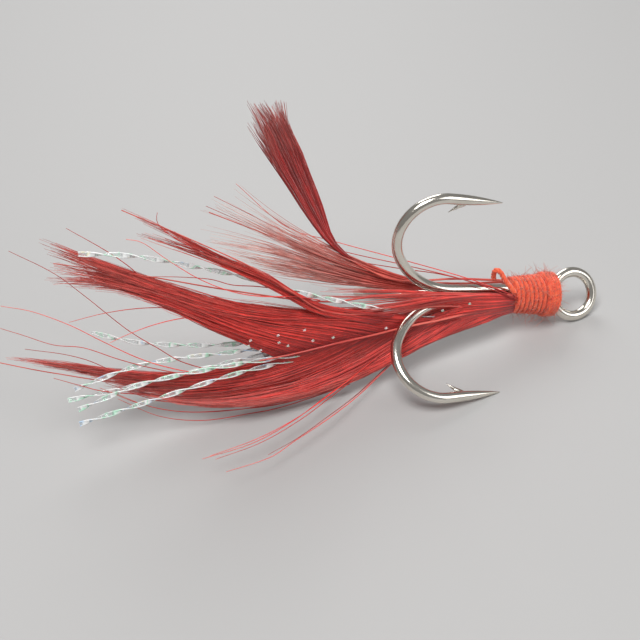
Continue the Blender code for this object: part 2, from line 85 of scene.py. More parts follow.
def radial(azimuth):
    """Unit vector away from the treble axis, its azimuth in degrees from +y to +z."""
    turn = math.radians(azimuth)
    return Vector((0, math.cos(turn), math.sin(turn)))


ALONG = Vector((1, 0, 0))
EYE_CENTRE = radial(EYE_AZIMUTH) * SHANK_OFFSET / 2
EYE_ACROSS = (radial(UPPER_AZIMUTH) - radial(NEAR_AZIMUTH)).normalized()
line_eye_axis = Vector(frame["record"]["mounts"][0]["axis"])
SLOPE = math.atan2(line_eye_axis.x, line_eye_axis.z)
TO_TABLE = Matrix.Rotation(SLOPE, 4, "Y") @ Matrix.Translation(-EYE_CENTRE)
TABLE_HEIGHT = cad_low.z
print("shanks slope %.2f degrees" % math.degrees(SLOPE))

# %% Places along the dressing
NECK_TO_EYE = EYE_RADIUS + EYE_NECK_RADIUS
NECK_TO_AXIS = SHANK_HALF_GAP + EYE_NECK_RADIUS
EYE_NECK_START = -math.sqrt(NECK_TO_EYE ** 2 - NECK_TO_AXIS ** 2)
WRAP_OVER_NECK = 0.8 * MM
WRAP_FRONT = EYE_NECK_START + WRAP_OVER_NECK
WRAP_LENGTH = 4.5 * MM
WRAP_REAR = WRAP_FRONT - WRAP_LENGTH
QUILL_RADIUS = 0.16 * MM
STEM_CLEARANCE = 0.05 * MM
STEM_OFFSET = SHANK_OFFSET + WIRE_RADIUS + STEM_CLEARANCE + QUILL_RADIUS
STEM_UNDER_THREAD = 3.6 * MM


def behind_wrap(point):
    """A point written as (millimetres behind the wrap, y, z), in the shanks' frame."""
    behind, y, z = point
    return Vector((WRAP_REAR - behind * MM, y * MM, z * MM))


def smooth_route(points, spacing):
    """Points about `spacing` apart on one smooth curve through the route's own points."""
    ends = [points[0] * 2 - points[1]] + points + [points[-1] * 2 - points[-2]]
    route = []
    for a, b, c, d in zip(ends, ends[1:], ends[2:], ends[3:]):
        steps = max(1, round((c - b).length / spacing))
        for k in range(steps):
            t = k / steps
            bend = (a * 2 - b * 5 + c * 4 - d) * t ** 2 + (b * 3 - a - c * 3 + d) * t ** 3
            route.append(b + ((c - a) * t + bend) / 2)
    return route + [points[-1]]


def stem_route(azimuth, route):
    """A stem's way: straight under the thread, then behind the wrap."""
    place = radial(azimuth) * STEM_OFFSET
    inside = ALONG * (WRAP_REAR + STEM_UNDER_THREAD) + place
    return [inside, ALONG * WRAP_REAR + place] + [behind_wrap(point) for point in route]


def between(values, share):
    """A smooth value through three given at the start, the middle and the end."""
    first, middle, last = values
    ends = first * (1 - share) * (1 - 2 * share) + last * share * (2 * share - 1)
    return ends + 4 * middle * share * (1 - share)


print("the wrap runs from %.2f to %.2f mm behind the eye" % (-WRAP_FRONT / MM, -WRAP_REAR / MM))

# %% [markdown]
# The camera
#
# The camera's place was worked out from the photograph: the bends, the points and the eye of the hook lie
# where they do only from one direction and distance.

# %% Camera at the photograph's viewing angle
SENSOR_WIDTH = 36
CAMERA_AZIMUTH = math.radians(-11.77)
CAMERA_ELEVATION = math.radians(37.10)
CAMERA_ROLL = math.radians(-6.75)
CAMERA_LENS = 67.5
CAMERA_PLACE = Vector((-43.5, -86.75, 71.38)) * MM
CAMERA_NEAR_CLIP = 5 * MM

level = Vector((math.cos(CAMERA_AZIMUTH), math.sin(CAMERA_AZIMUTH), 0))
back = Vector((math.sin(CAMERA_AZIMUTH) * math.cos(CAMERA_ELEVATION),
               -math.cos(CAMERA_AZIMUTH) * math.cos(CAMERA_ELEVATION), math.sin(CAMERA_ELEVATION)))
above = back.cross(level)
right = level * math.cos(CAMERA_ROLL) + above * math.sin(CAMERA_ROLL)
up = above * math.cos(CAMERA_ROLL) - level * math.sin(CAMERA_ROLL)

camera_data = bpy.data.cameras.new("camera")
camera_data.sensor_width = SENSOR_WIDTH
camera_data.lens = CAMERA_LENS
camera_data.clip_start = CAMERA_NEAR_CLIP
camera = bpy.data.objects.new("camera", camera_data)
camera.matrix_world = Matrix.Translation(CAMERA_PLACE) @ Matrix((right, up, back)).transposed().to_4x4()
bpy.context.scene.collection.objects.link(camera)
bpy.context.scene.camera = camera

print("camera %.0f mm from the line eye" % (CAMERA_PLACE.length / MM))

# %% [markdown]
# Words for Geometry Nodes
#
# Barbs, thread and film all follow a path, so node trees make them. A tree wired socket by socket is hard
# to read, so a Field stands for one output of a node and takes the signs of arithmetic: a formula for a
# barb then reads as one. A tree's result is kept as a plain mesh, because the exported part has no
# modifiers.


# %% Fields and trees
class Field:
    """One output of a node, with the signs of arithmetic."""

    def __init__(self, tree, socket):
        self.tree = tree
        self.socket = socket

    def __add__(self, other):
        return self.tree.operate("ADD", self, other)

    def __sub__(self, other):
        return self.tree.operate("SUBTRACT", self, other)

    def __rsub__(self, other):
        return self.tree.operate("SUBTRACT", other, self)

    def __mul__(self, other):
        return self.tree.operate("MULTIPLY", self, other)

    def __truediv__(self, other):
        return self.tree.operate("DIVIDE", self, other)

    def __pow__(self, other):
        return self.tree.operate("POWER", self, other)

    __radd__ = __add__


class Tree:
    """A Geometry Nodes tree under construction, with named inputs and one geometry out."""

    def __init__(self, name, **inputs):
        self.group = bpy.data.node_groups.new(name, "GeometryNodeTree")
        self.group.interface.new_socket("Geometry", in_out="OUTPUT", socket_type="NodeSocketGeometry")
        for label, kind in inputs.items():
            self.group.interface.new_socket(label, in_out="INPUT", socket_type="NodeSocket" + kind)
        entry = self.group.nodes.new("NodeGroupInput")
        self.inputs = {label: Field(self, entry.outputs[label]) for label in inputs}

    def add(self, kind, values=None, output=0, **settings):
        """A node with its settings, and its inputs from numbers or fields. Gives the output as a field."""
        made = self.group.nodes.new(kind)
        for key, value in settings.items():
            setattr(made, key, value)
        for key, value in (values or {}).items():
            if isinstance(value, Field):
                self.group.links.new(value.socket, made.inputs[key])
            else:
                made.inputs[key].default_value = value
        return Field(self, made.outputs[output])

    def operate(self, operation, *values):
        """Arithmetic on numbers or on vectors, by what it is given."""
        fields = [v.socket.type for v in values if isinstance(v, Field)]
        if "VECTOR" not in fields and not any(isinstance(v, Vector) for v in values):
            return self.add("ShaderNodeMath", dict(enumerate(values)), operation=operation)
        spread = [v if isinstance(v, (Field, Vector)) else Vector((v, v, v)) for v in values]
        return self.add("ShaderNodeVectorMath", dict(enumerate(spread)), operation=operation)

    def random(self, low, high, identity, seed):
        values = {2: low, 3: high, "ID": identity, "Seed": seed}
        return self.add("FunctionNodeRandomValue", values, 1, data_type="FLOAT")

    def ease(self, value, start, end):
        """0 before start, 1 after end, and smooth between them."""
        values = {"Value": value, "From Min": start, "From Max": end}
        return self.add("ShaderNodeMapRange", values, interpolation_type="SMOOTHSTEP")

    def noise(self, place, scale):
        """Smooth random vectors about zero."""
        colour = self.add("ShaderNodeTexNoise", {"Vector": place, "Scale": scale, "Detail": 1.0}, 1)
        vector = self.add("ShaderNodeVectorMath", {0: colour})
        return self.operate("SUBTRACT", vector, Vector((0.5, 0.5, 0.5)))

    def store(self, geometry, name, value):
        values = {"Geometry": geometry, "Name": name, "Value": value}
        return self.add("GeometryNodeStoreNamedAttribute", values, data_type="FLOAT", domain="POINT")

    def resample(self, curve, **measure):
        """Even steps along a curve, by a Count or by a Length."""
        mode, = measure
        return self.add("GeometryNodeResampleCurve", dict(measure, Curve=curve), mode=mode.upper())

    def circle(self, sides, radius=1.0):
        return self.add("GeometryNodeCurvePrimitiveCircle", {"Resolution": sides, "Radius": radius})

    def above_table(self, place):
        """The same place, lifted to the tree's Table where it lies lower."""
        axes = {axis: self.add("ShaderNodeSeparateXYZ", {0: place}, axis) for axis in "XYZ"}
        axes["Z"] = self.operate("MAXIMUM", axes["Z"], self.inputs["Table"])
        return self.add("ShaderNodeCombineXYZ", axes)

    def sweep(self, curve, profile, scale):
        """Ends the tree: the profile along the curve, as plain, smooth geometry with its material."""
        values = {"Curve": curve, "Profile Curve": profile, "Scale": scale, "Fill Caps": True}
        swept = self.add("GeometryNodeCurveToMesh", values)
        smooth = self.add("GeometryNodeSetShadeSmooth", {"Geometry": swept})
        real = self.add("GeometryNodeRealizeInstances", {"Geometry": smooth})
        values = {"Geometry": real, "Material": self.inputs["Material"]}
        painted = self.add("GeometryNodeSetMaterial", values)
        leave = self.group.nodes.new("NodeGroupOutput")
        self.group.links.new(painted.socket, leave.inputs["Geometry"])
        print("tree for %s: %d nodes" % (self.group.name, len(self.group.nodes)))


def new_curve(name):
    curve = bpy.data.curves.new(name, "CURVE")
    curve.dimensions = "3D"
    return curve


def add_path(curve, points, radii=None):
    """Adds a line through points of the shanks' frame, put on the table, with a radius at each point."""
    spline = curve.splines.new("POLY")
    spline.points.add(len(points) - 1)
    for k, place in enumerate(points):
        spline.points[k].co = (*(TO_TABLE @ place), 1)
        spline.points[k].radius = radii[k] if radii else 1.0


def path_curve(name, points, radii=None):
    curve = new_curve(name)
    add_path(curve, points, radii)
    return curve


def grow(name, source, tree, **inputs):
    """Runs a tree on a curve or a mesh and keeps the result as a plain mesh piece."""
    carrier = bpy.data.objects.new(name + "_source", source)
    bpy.context.scene.collection.objects.link(carrier)
    modifier = carrier.modifiers.new("nodes", "NODES")
    modifier.node_group = tree.group
    for item in tree.group.interface.items_tree:
        if item.in_out == "INPUT" and item.name in inputs:
            modifier[item.identifier] = inputs[item.name]
    bpy.context.view_layer.update()
    evaluated = carrier.evaluated_get(bpy.context.evaluated_depsgraph_get())
    mesh = bpy.data.meshes.new_from_object(evaluated)
    mesh.name = name
    bpy.data.objects.remove(carrier)
    piece = bpy.data.objects.new(name, mesh)
    bpy.context.scene.collection.objects.link(piece)
    return piece


def keep(piece, slot, *nodes):
    """Ties a finished piece to the part's body and hides the solids that it stands for. The slot is not used.
    """
    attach(piece, "root")
    if nodes:
        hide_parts(*nodes)
    piece.data.calc_loop_triangles()
    lowest = min(vertex.co.z for vertex in piece.data.vertices) - TABLE_HEIGHT
    triangles = len(piece.data.loop_triangles)
    print("%-28s %6d triangles, lowest %5.2f mm up" % (piece.name, triangles, lowest / MM))


# %% [markdown]
# Materials
#
# Each finish is a few nodes on the Principled shader. Patterns read Object coordinates, or the attributes
# that the node trees leave on the mesh: `reach` runs from 0 at a barb's root to 1 at its tip, `tone`
# differs from barb to barb, `across` runs over the width of the film and `turn` along each half turn of
# it.


# %% Shader helpers
class Finish:
    """A material under construction, with constants set on the shader's own sockets."""

    def __init__(self, name, **sockets):
        self.material = bpy.data.materials.new(name)
        self.material.use_nodes = True
        self.nodes = self.material.node_tree.nodes
        self.link = self.material.node_tree.links.new
        self.shader = self.nodes["Principled BSDF"]
        for label, value in sockets.items():
            self.shader.inputs[label.replace("_", " ")].default_value = value

    def feed(self, label, output):
        """Gives one of the shader's inputs what a node makes."""
        self.link(output, self.shader.inputs[label])

    def attribute(self, name):
        made = self.nodes.new("ShaderNodeAttribute")
        made.attribute_name = name
        return made.outputs["Fac"]

    def noise(self, scale, detail, stretch=(1, 1, 1)):
        """Noise on Object coordinates."""
        coordinates = self.nodes.new("ShaderNodeTexCoord")
        mapping = self.nodes.new("ShaderNodeMapping")
        mapping.inputs["Scale"].default_value = stretch
        self.link(coordinates.outputs["Object"], mapping.inputs["Vector"])
        made = self.nodes.new("ShaderNodeTexNoise")
        made.inputs["Scale"].default_value = scale
        made.inputs["Detail"].default_value = detail
        self.link(mapping.outputs["Vector"], made.inputs["Vector"])
        return made.outputs["Fac"]

    def ramp(self, driver, stops):
        """The colour that (place, colour) stops give to a driver between 0 and 1."""
        made = self.nodes.new("ShaderNodeValToRGB")
        elements = made.color_ramp.elements
        while len(elements) < len(stops):
            elements.new(0.5)
        for element, (place, colour) in zip(elements, stops):
            element.position = place
            element.color = (*colour, 1)
        self.link(driver, made.inputs["Fac"])
        return made.outputs["Color"]

    def mix(self, blend_type, first, second):
        """Two colours mixed in full."""
        made = self.nodes.new("ShaderNodeMix")
        made.data_type = "RGBA"
        made.blend_type = blend_type
        made.inputs[0].default_value = 1.0
        self.link(first, made.inputs[6])
        self.link(second, made.inputs[7])
        return made.outputs[2]

    def bump(self, height, strength, distance):
        made = self.nodes.new("ShaderNodeBump")
        made.inputs["Strength"].default_value = strength
        made.inputs["Distance"].default_value = distance
        self.link(height, made.inputs["Height"])
        self.feed("Normal", made.outputs["Normal"])


# The size of a pattern is its noise's scale, in spots per metre.
CLOUD_SCALE, PIT_SCALE = 420, 5200
DYE_SCALE, FIBRE_SCALE, STREAK_SCALE, GLINT_SCALE = 900, 2600, 700, 620
BLACK, WHITE = (0.0, 0.0, 0.0), (1.0, 1.0, 1.0)
print("pattern scales:", CLOUD_SCALE, PIT_SCALE, DYE_SCALE, FIBRE_SCALE, STREAK_SCALE, GLINT_SCALE)


# %% Nickel plate
def nickel_finish(name, bright, dull):
    """Polished plating, a little warm, with faint cloudy patches and fine pits."""
    finish = Finish(name, Metallic=1.0)
    clouds = finish.noise(CLOUD_SCALE, 4)
    finish.feed("Base Color", finish.ramp(clouds, [(0.3, dull), (0.7, bright)]))
    gloss = finish.nodes.new("ShaderNodeMapRange")
    gloss.inputs["To Min"].default_value = 0.1
    gloss.inputs["To Max"].default_value = 0.24
    finish.link(clouds, gloss.inputs["Value"])
    finish.feed("Roughness", gloss.outputs["Result"])
    finish.bump(finish.noise(PIT_SCALE, 2), 0.06, 0.02 * MM)
    return finish.material


NICKEL = nickel_finish("nickel_plate", (0.80, 0.76, 0.69), (0.70, 0.66, 0.58))
BRAZE = nickel_finish("braze_seam", (0.66, 0.58, 0.42), (0.52, 0.44, 0.30))
print("metals:", NICKEL.name, BRAZE.name)


# %% Feather barbs, quill, thread and film
def barb_finish(name, root, body, tip, tip_start, dark=(0.5, 0.42, 0.42)):
    """Silky dyed barbs: deep at the root, faded at the tip, no two quite alike."""
    finish = Finish(name, Roughness=0.42, Sheen_Weight=0.25, Sheen_Roughness=0.4)
    reach = finish.ramp(finish.attribute("reach"),
                        [(0.0, root), (0.22, body), (tip_start, body), (1.0, tip)])
    tone = finish.ramp(finish.attribute("tone"),
                       [(0.0, dark), (0.55, (0.9, 0.9, 0.9)), (1.0, (1.25, 1.35, 1.35))])
    patches = finish.ramp(finish.noise(DYE_SCALE, 3), [(0.35, (0.8, 0.74, 0.74)), (0.65, WHITE)])
    finish.feed("Base Color", finish.mix("MULTIPLY", finish.mix("MULTIPLY", reach, tone), patches))
    return finish.material


RED = (0.82, 0.055, 0.042)
DEEP_RED = (0.42, 0.018, 0.018)
RED_BARBS = barb_finish("red_barbs", DEEP_RED, RED, (0.78, 0.16, 0.13), 0.7)
PALE_TIP_BARBS = barb_finish("pale_tip_barbs", (0.60, 0.04, 0.035), (0.80, 0.13, 0.10), (0.90, 0.55, 0.48),
                             0.3, (0.8, 0.66, 0.66))
DEEP_BARBS = barb_finish("deep_red_barbs", DEEP_RED, (0.52, 0.024, 0.022), (0.56, 0.11, 0.09), 0.75)


def thread_finish(name, colour, light):
    """Matt dyed fibres, lighter in spots."""
    finish = Finish(name, Roughness=0.75, Sheen_Weight=0.5, Sheen_Roughness=0.5)
    fibres = finish.noise(FIBRE_SCALE, 4)
    tint = finish.ramp(fibres, [(0.3, colour), (0.75, light)])
    tone = finish.ramp(finish.attribute("tone"), [(0.0, (0.7, 0.62, 0.6)), (1.0, (1.1, 1.1, 1.1))])
    finish.feed("Base Color", finish.mix("MULTIPLY", tint, tone))
    finish.bump(fibres, 0.5, 0.04 * MM)
    return finish.material


RED_THREAD = thread_finish("red_thread", (0.74, 0.055, 0.02), (0.92, 0.17, 0.06))
THREAD_FUZZ = thread_finish("thread_fuzz", (0.52, 0.10, 0.06), (0.70, 0.24, 0.16))


def quill_finish(name):
    """A horn shaft, satin, lighter where the dye took less."""
    finish = Finish(name, Roughness=0.38, Coat_Weight=0.2)
    streaks = finish.noise(STREAK_SCALE, 3, (0.15, 1, 1))
    finish.feed("Base Color", finish.ramp(streaks, [(0.3, (0.50, 0.035, 0.03)), (0.7, (0.80, 0.16, 0.12))]))
    return finish.material


RED_QUILL = quill_finish("red_quill")


def film_finish(name):
    """Pearl film: clear in the middle, white at its edges, with tinted glints and a painted highlight in each
    half turn.
    """
    pearl, blue = (0.93, 0.94, 0.93), (0.60, 0.76, 0.95)
    green, yellow = (0.50, 0.90, 0.66), (0.96, 0.88, 0.52)
    finish = Finish(name, Roughness=0.14, Coat_Weight=0.6, Coat_Roughness=0.08)
    glints = finish.ramp(finish.noise(GLINT_SCALE, 2), [
        (0.32, blue), (0.38, pearl), (0.48, pearl), (0.53, green), (0.58, pearl), (0.66, pearl),
        (0.72, yellow)])
    across = finish.attribute("across")
    edge = finish.ramp(across, [(0.4, (0.60, 0.64, 0.64)), (0.8, WHITE)])
    clear = finish.ramp(across, [(0.45, (0.3, 0.3, 0.3)), (0.8, WHITE)])
    # Painted highlight: a white, opaque band at the same place in each half turn, for the glint where the
    # film faces the lamp.
    painted_glint = finish.ramp(finish.attribute("turn"), [(0.3, BLACK), (0.4, WHITE), (0.58, WHITE), (0.68, BLACK)])
    finish.feed("Base Color", finish.mix("MULTIPLY", glints, finish.mix("LIGHTEN", edge, painted_glint)))
    finish.feed("Alpha", finish.mix("LIGHTEN", clear, painted_glint))
    return finish.material


PEARL_FILM = film_finish("pearl_film")
DRESSING = (RED_BARBS, PALE_TIP_BARBS, DEEP_BARBS, RED_THREAD, THREAD_FUZZ, RED_QUILL, PEARL_FILM)
print("dressing:", [material.name for material in DRESSING])

# %% [markdown]
# The hooks
#
# Two hooks and the eye are one bent wire and the third hook is another. A wire is a round profile swept
# along a path, which is what Curve to Mesh does. The path is the formula of the part's own source with
# more steps: a shank, a wide bend, a tighter bend and a straight limb, ground to a point. A little spur
# on the inside of each limb is the barb.

# %% A tree for wires
wire_tree = Tree("wire", Geometry="Geometry", Sides="Int", Material="Material")


def make_wire_tree(tree):
    give = tree.inputs
    lines = tree.store(give["Geometry"], "reach", tree.add("GeometryNodeSplineParameter"))
    number = tree.add("GeometryNodeCurveOfPoint")
    lines = tree.store(lines, "tone", tree.random(0.0, 1.0, number, 8))
    tree.sweep(lines, tree.circle(give["Sides"]), tree.add("GeometryNodeInputRadius"))


make_wire_tree(wire_tree)

# %% Hook wires
BEND_START = -12.7 * MM
BENDS = [(math.radians(61), 7.4 * MM), (math.radians(122.7), 4.0 * MM)]
BEND_STEPS = 28
LIMB_LENGTH = 5.3 * MM
POINT_GROUND_LENGTH = 4.4 * MM
POINT_RADII = (0.5 * MM, 0.36 * MM, 0.03 * MM)
POINT_STEPS = 14
EYE_STEPS = 90
NECK_STEPS = 12
WIRE_SIDES = 28
BARB_FROM_POINT = 3.5 * MM
BARB_LENGTH = 2.0 * MM
BARB_RADII = [0.3 * MM, 0.24 * MM, 0.14 * MM, 0.02 * MM]
BARB_ANGLE = math.radians(36)
BARB_CURL = 25
BARB_SINK = 0.1 * MM
BARB_SIDES = 12
THIRD_SHANK_END = EYE_NECK_START - 0.4 * MM


def hook_path(azimuth):
    """A hook's centre-line from its shank's end to its point, and the wire's radius along it."""
    x, out, heading = BEND_START, SHANK_OFFSET, math.pi
    flat = [(x, out)]
    for turn, radius in BENDS:
        step = turn / BEND_STEPS
        for _ in range(BEND_STEPS):
            chord = 2 * radius * math.sin(step / 2)
            x += chord * math.cos(heading - step / 2)
            out += chord * math.sin(heading - step / 2)
            heading -= step
            flat.append((x, out))
    radii = [WIRE_RADIUS] * len(flat)
    for k in range(POINT_STEPS + 1):
        share = k / POINT_STEPS
        reach = LIMB_LENGTH - POINT_GROUND_LENGTH * (1 - share)
        flat.append((x + reach * math.cos(heading), out + reach * math.sin(heading)))
        radii.append(between(POINT_RADII, share))
    return [ALONG * x + radial(azimuth) * out for x, out in flat], radii


def eye_path():
    """The wire from the upper shank round the eye to the near shank."""
    swing = math.acos(NECK_TO_AXIS / NECK_TO_EYE)
    neck = []
    for k in range(NECK_STEPS):
        turn = swing * k / NECK_STEPS
        across = SHANK_HALF_GAP + EYE_NECK_RADIUS * (1 - math.cos(turn))
        neck.append((EYE_NECK_START + EYE_NECK_RADIUS * math.sin(turn), across))
    start = math.pi / 2 + swing
    ring = [start - 2 * start * k / EYE_STEPS for k in range(EYE_STEPS + 1)]
    half = neck + [(EYE_RADIUS * math.cos(a), EYE_RADIUS * math.sin(a)) for a in ring]
    flat = half + [(x, -across) for x, across in reversed(neck)]
    return [EYE_CENTRE + ALONG * x + EYE_ACROSS * across for x, across in flat]


def add_barb(wire, azimuth):
    """Joins the spur on the inner side of a limb to its wire."""
    points = hook_path(azimuth)[0]
    behind = (points[-POINT_STEPS - 1] - points[-1]).normalized()
    inward = -(radial(azimuth) - behind * radial(azimuth).dot(behind)).normalized()
    root = points[-1] + behind * BARB_FROM_POINT + inward * BARB_SINK
    lean = behind * math.cos(BARB_ANGLE) + inward * math.sin(BARB_ANGLE)
    reach = [BARB_LENGTH * k / (len(BARB_RADII) - 1) for k in range(len(BARB_RADII))]
    path = path_curve("barb", [root + lean * r + inward * (r * r) * BARB_CURL for r in reach], BARB_RADII)
    spur = grow("barb_spur", path, wire_tree, Sides=BARB_SIDES, Material=NICKEL)
    union = wire.modifiers.new("barb", "BOOLEAN")
    union.operation = "UNION"
    union.object = spur
    bpy.context.view_layer.update()
    joined = bpy.data.meshes.new_from_object(wire.evaluated_get(bpy.context.evaluated_depsgraph_get()))
    wire.modifiers.remove(union)
    wire.data = joined
    bpy.data.objects.remove(spur)


upper, upper_radii = hook_path(UPPER_AZIMUTH)
near, near_radii = hook_path(NEAR_AZIMUTH)
third, third_radii = hook_path(THIRD_AZIMUTH)
eye = eye_path()
double_path = path_curve("double_hook", upper[::-1] + eye + near,
                         upper_radii[::-1] + [WIRE_RADIUS] * len(eye) + near_radii)
third_start = ALONG * THIRD_SHANK_END + radial(THIRD_AZIMUTH) * SHANK_OFFSET
third_path = path_curve("third_hook", [third_start] + third, [WIRE_RADIUS] + third_radii)
double_wire = grow("double_hook_wire", double_path, wire_tree, Sides=WIRE_SIDES, Material=NICKEL)
third_wire = grow("third_hook_wire", third_path, wire_tree, Sides=WIRE_SIDES, Material=NICKEL)
add_barb(double_wire, UPPER_AZIMUTH)
add_barb(double_wire, NEAR_AZIMUTH)
add_barb(third_wire, THIRD_AZIMUTH)
keep(double_wire, "nickel_plate", "double_hook")
keep(third_wire, "nickel_plate", "third_hook")
braze = frame["nodes"]["braze_fillet"]
braze.data.materials.clear()
braze.data.materials.append(BRAZE)

# %% [markdown]
# The feathers
#
# A feather has a horn quill and hundreds of soft barbs on either side of it, which cling together in
# clumps, lie in layers and stray a little. Groomers of hair draw a few guide lines and let the computer
# fill in the rest, and the same serves here. Each row of barbs has a few guide barbs from root to tip, in
# order along the quill. The tree makes one plain line, duplicates it for each barb, and moves every point
# of every line to its place between two guides.

# %% A tree for barbs
POINTS_IN_BARB = 12
barb_tree = Tree(
    "barbs", Geometry="Geometry", Guides="Int", Barbs="Int", Ragged="Float", Stack="Vector", Clumps="Float",
    Cling="Float", Wander="Float", Width="Float", Thickness="Float", Table="Float", Seed="Int",
    Material="Material")


def between_guides(tree, where, share):
    """The place between two neighbouring guides, by the share of the row and the share of the barb."""
    give = tree.inputs
    lane = where * (give["Guides"] - 1.001)
    first = tree.operate("FLOOR", lane)
    sample = {"Curves": give["Geometry"], "Factor": share}
    here, there = [tree.add("GeometryNodeSampleCurve", dict(sample, **{"Curve Index": index}), "Position",
                            mode="FACTOR") for index in (first, first + 1.0)]
    return here + (there - here) * (lane - first)


def make_barb_tree(tree):
    give = tree.inputs
    line = tree.resample(tree.add("GeometryNodeCurvePrimitiveLine"), Count=POINTS_IN_BARB)
    lines = tree.add("GeometryNodeDuplicateElements", {"Geometry": line, "Amount": give["Barbs"]},
                     domain="SPLINE")
    share = tree.add("GeometryNodeSplineParameter")
    number = tree.operate("FLOOR", tree.add("GeometryNodeInputIndex") / POINTS_IN_BARB)

    def pick(low, high, draw):
        return tree.random(low, high, number, give["Seed"] + draw)

    where = (number + pick(0.0, 1.0, 1)) / give["Barbs"]
    reach = share * pick(1.0 - give["Ragged"], 1.0, 2)
    own = between_guides(tree, where, reach)
    clump = tree.operate("FLOOR", pick(0.0, 0.9, 7) + where * give["Clumps"])
    heart = between_guides(tree, tree.operate("MINIMUM", (clump + 0.3) / give["Clumps"], 1.0), reach)
    pull = tree.ease(share, 0.15, 0.95) * give["Cling"] * pick(0.5, 1.0, 5)
    layer = give["Stack"] * pick(-1.0, 1.0, 4) * (share * 0.8 + 0.2)
    apart = tree.add("ShaderNodeCombineXYZ", {"X": number * 0.173, "Y": share * 0.9, "Z": give["Seed"]})
    stray = tree.noise(apart, 1.7) * give["Wander"] * share
    place = own + (heart - own) * pull + layer + stray
    lines = tree.add("GeometryNodeSetPosition", {"Geometry": lines, "Position": tree.above_table(place)})
    lines = tree.add("GeometryNodeSetCurveNormal", {"Curve": lines, "Normal": give["Stack"]}, mode="FREE")
    lines = tree.store(lines, "reach", share)
    lines = tree.store(lines, "tone", pick(0.0, 1.0, 6))
    taper = tree.ease(share, -0.1, 0.12) * (1.0 - share ** 2.2 * 0.82)
    flat = tree.add("ShaderNodeCombineXYZ", {"X": give["Thickness"], "Y": give["Width"], "Z": 1.0})
    diamond = tree.add("GeometryNodeTransform", {"Geometry": tree.circle(4, 0.5), "Scale": flat})
    tree.sweep(lines, diamond, taper)


make_barb_tree(barb_tree)

# %% The feathers' quills
# Each quill: the azimuth of its stem under the thread and its way behind the wrap. The front hackle's
# bows forward, so that its barbs lie over the flash.
QUILLS = {
    "front_hackle": (235, [(3.4, -1.8, -0.6), (7.5, -2.3, -1.2), (11.0, -2.6, -1.7), (14.3, -2.7, -2.5),
                           (17.6, -2.7, -3.3), (20.3, -2.5, -4.2), (23.3, -2.1, -5.2), (29.6, -0.6, -7.6),
                           (36.1, 0.1, -9.0), (42.6, 0.2, -7.8), (47.9, 0.2, -6.3)]),
    "crest_hackle": (150, [(8.0, -1.35, 1.15), (13.9, -1.5, 1.05), (19.5, -1.3, 0.4), (28.2, -1.0, 1.6),
                           (35.5, -1.0, 3.1), (43.3, -1.0, 4.4)]),
    "top_hackle": (198, [(4.6, -1.65, -0.2), (8.6, -1.75, -0.05), (13.7, -2.1, -0.5), (19.1, -2.5, 0.1),
                         (23.1, -3.0, 2.7), (27.1, -3.1, 5.3), (32.8, -3.1, 8.1), (38.4, -3.0, 10.6)]),
    "rear_hackle": (30, [(4.2, 1.6, 0.3), (8.0, 2.4, 0.0), (12.0, 3.2, -0.1), (17.1, 4.1, 1.3),
                         (22.2, 4.6, 3.4), (29.1, 5.0, 6.0)]),
    "upright_tuft": (60, [(5.2, 1.35, 1.0), (10.3, 1.7, 0.6), (13.4, 2.5, 1.2), (16.6, 4.0, 2.9),
                          (21.1, 6.4, 8.7), (22.6, 7.4, 11.6)]),
}
QUILL_TIP_RADIUS = 0.04 * MM
QUILL_SPACING = 0.4 * MM
QUILL_SIDES = 10


def make_quill(name):
    points = smooth_route(stem_route(*QUILLS[name]), QUILL_SPACING)
    last = len(points) - 1
    thinning = QUILL_TIP_RADIUS - QUILL_RADIUS
    radii = [QUILL_RADIUS + thinning * (k / last) ** 0.6 for k in range(last + 1)]
    path = path_curve(name, points, radii)
    piece = grow(name + "_rachis", path, wire_tree, Sides=QUILL_SIDES, Material=RED_QUILL)
    keep(piece, "red_quill", name + "_quill")


for quill_name in QUILLS:
    make_quill(quill_name)

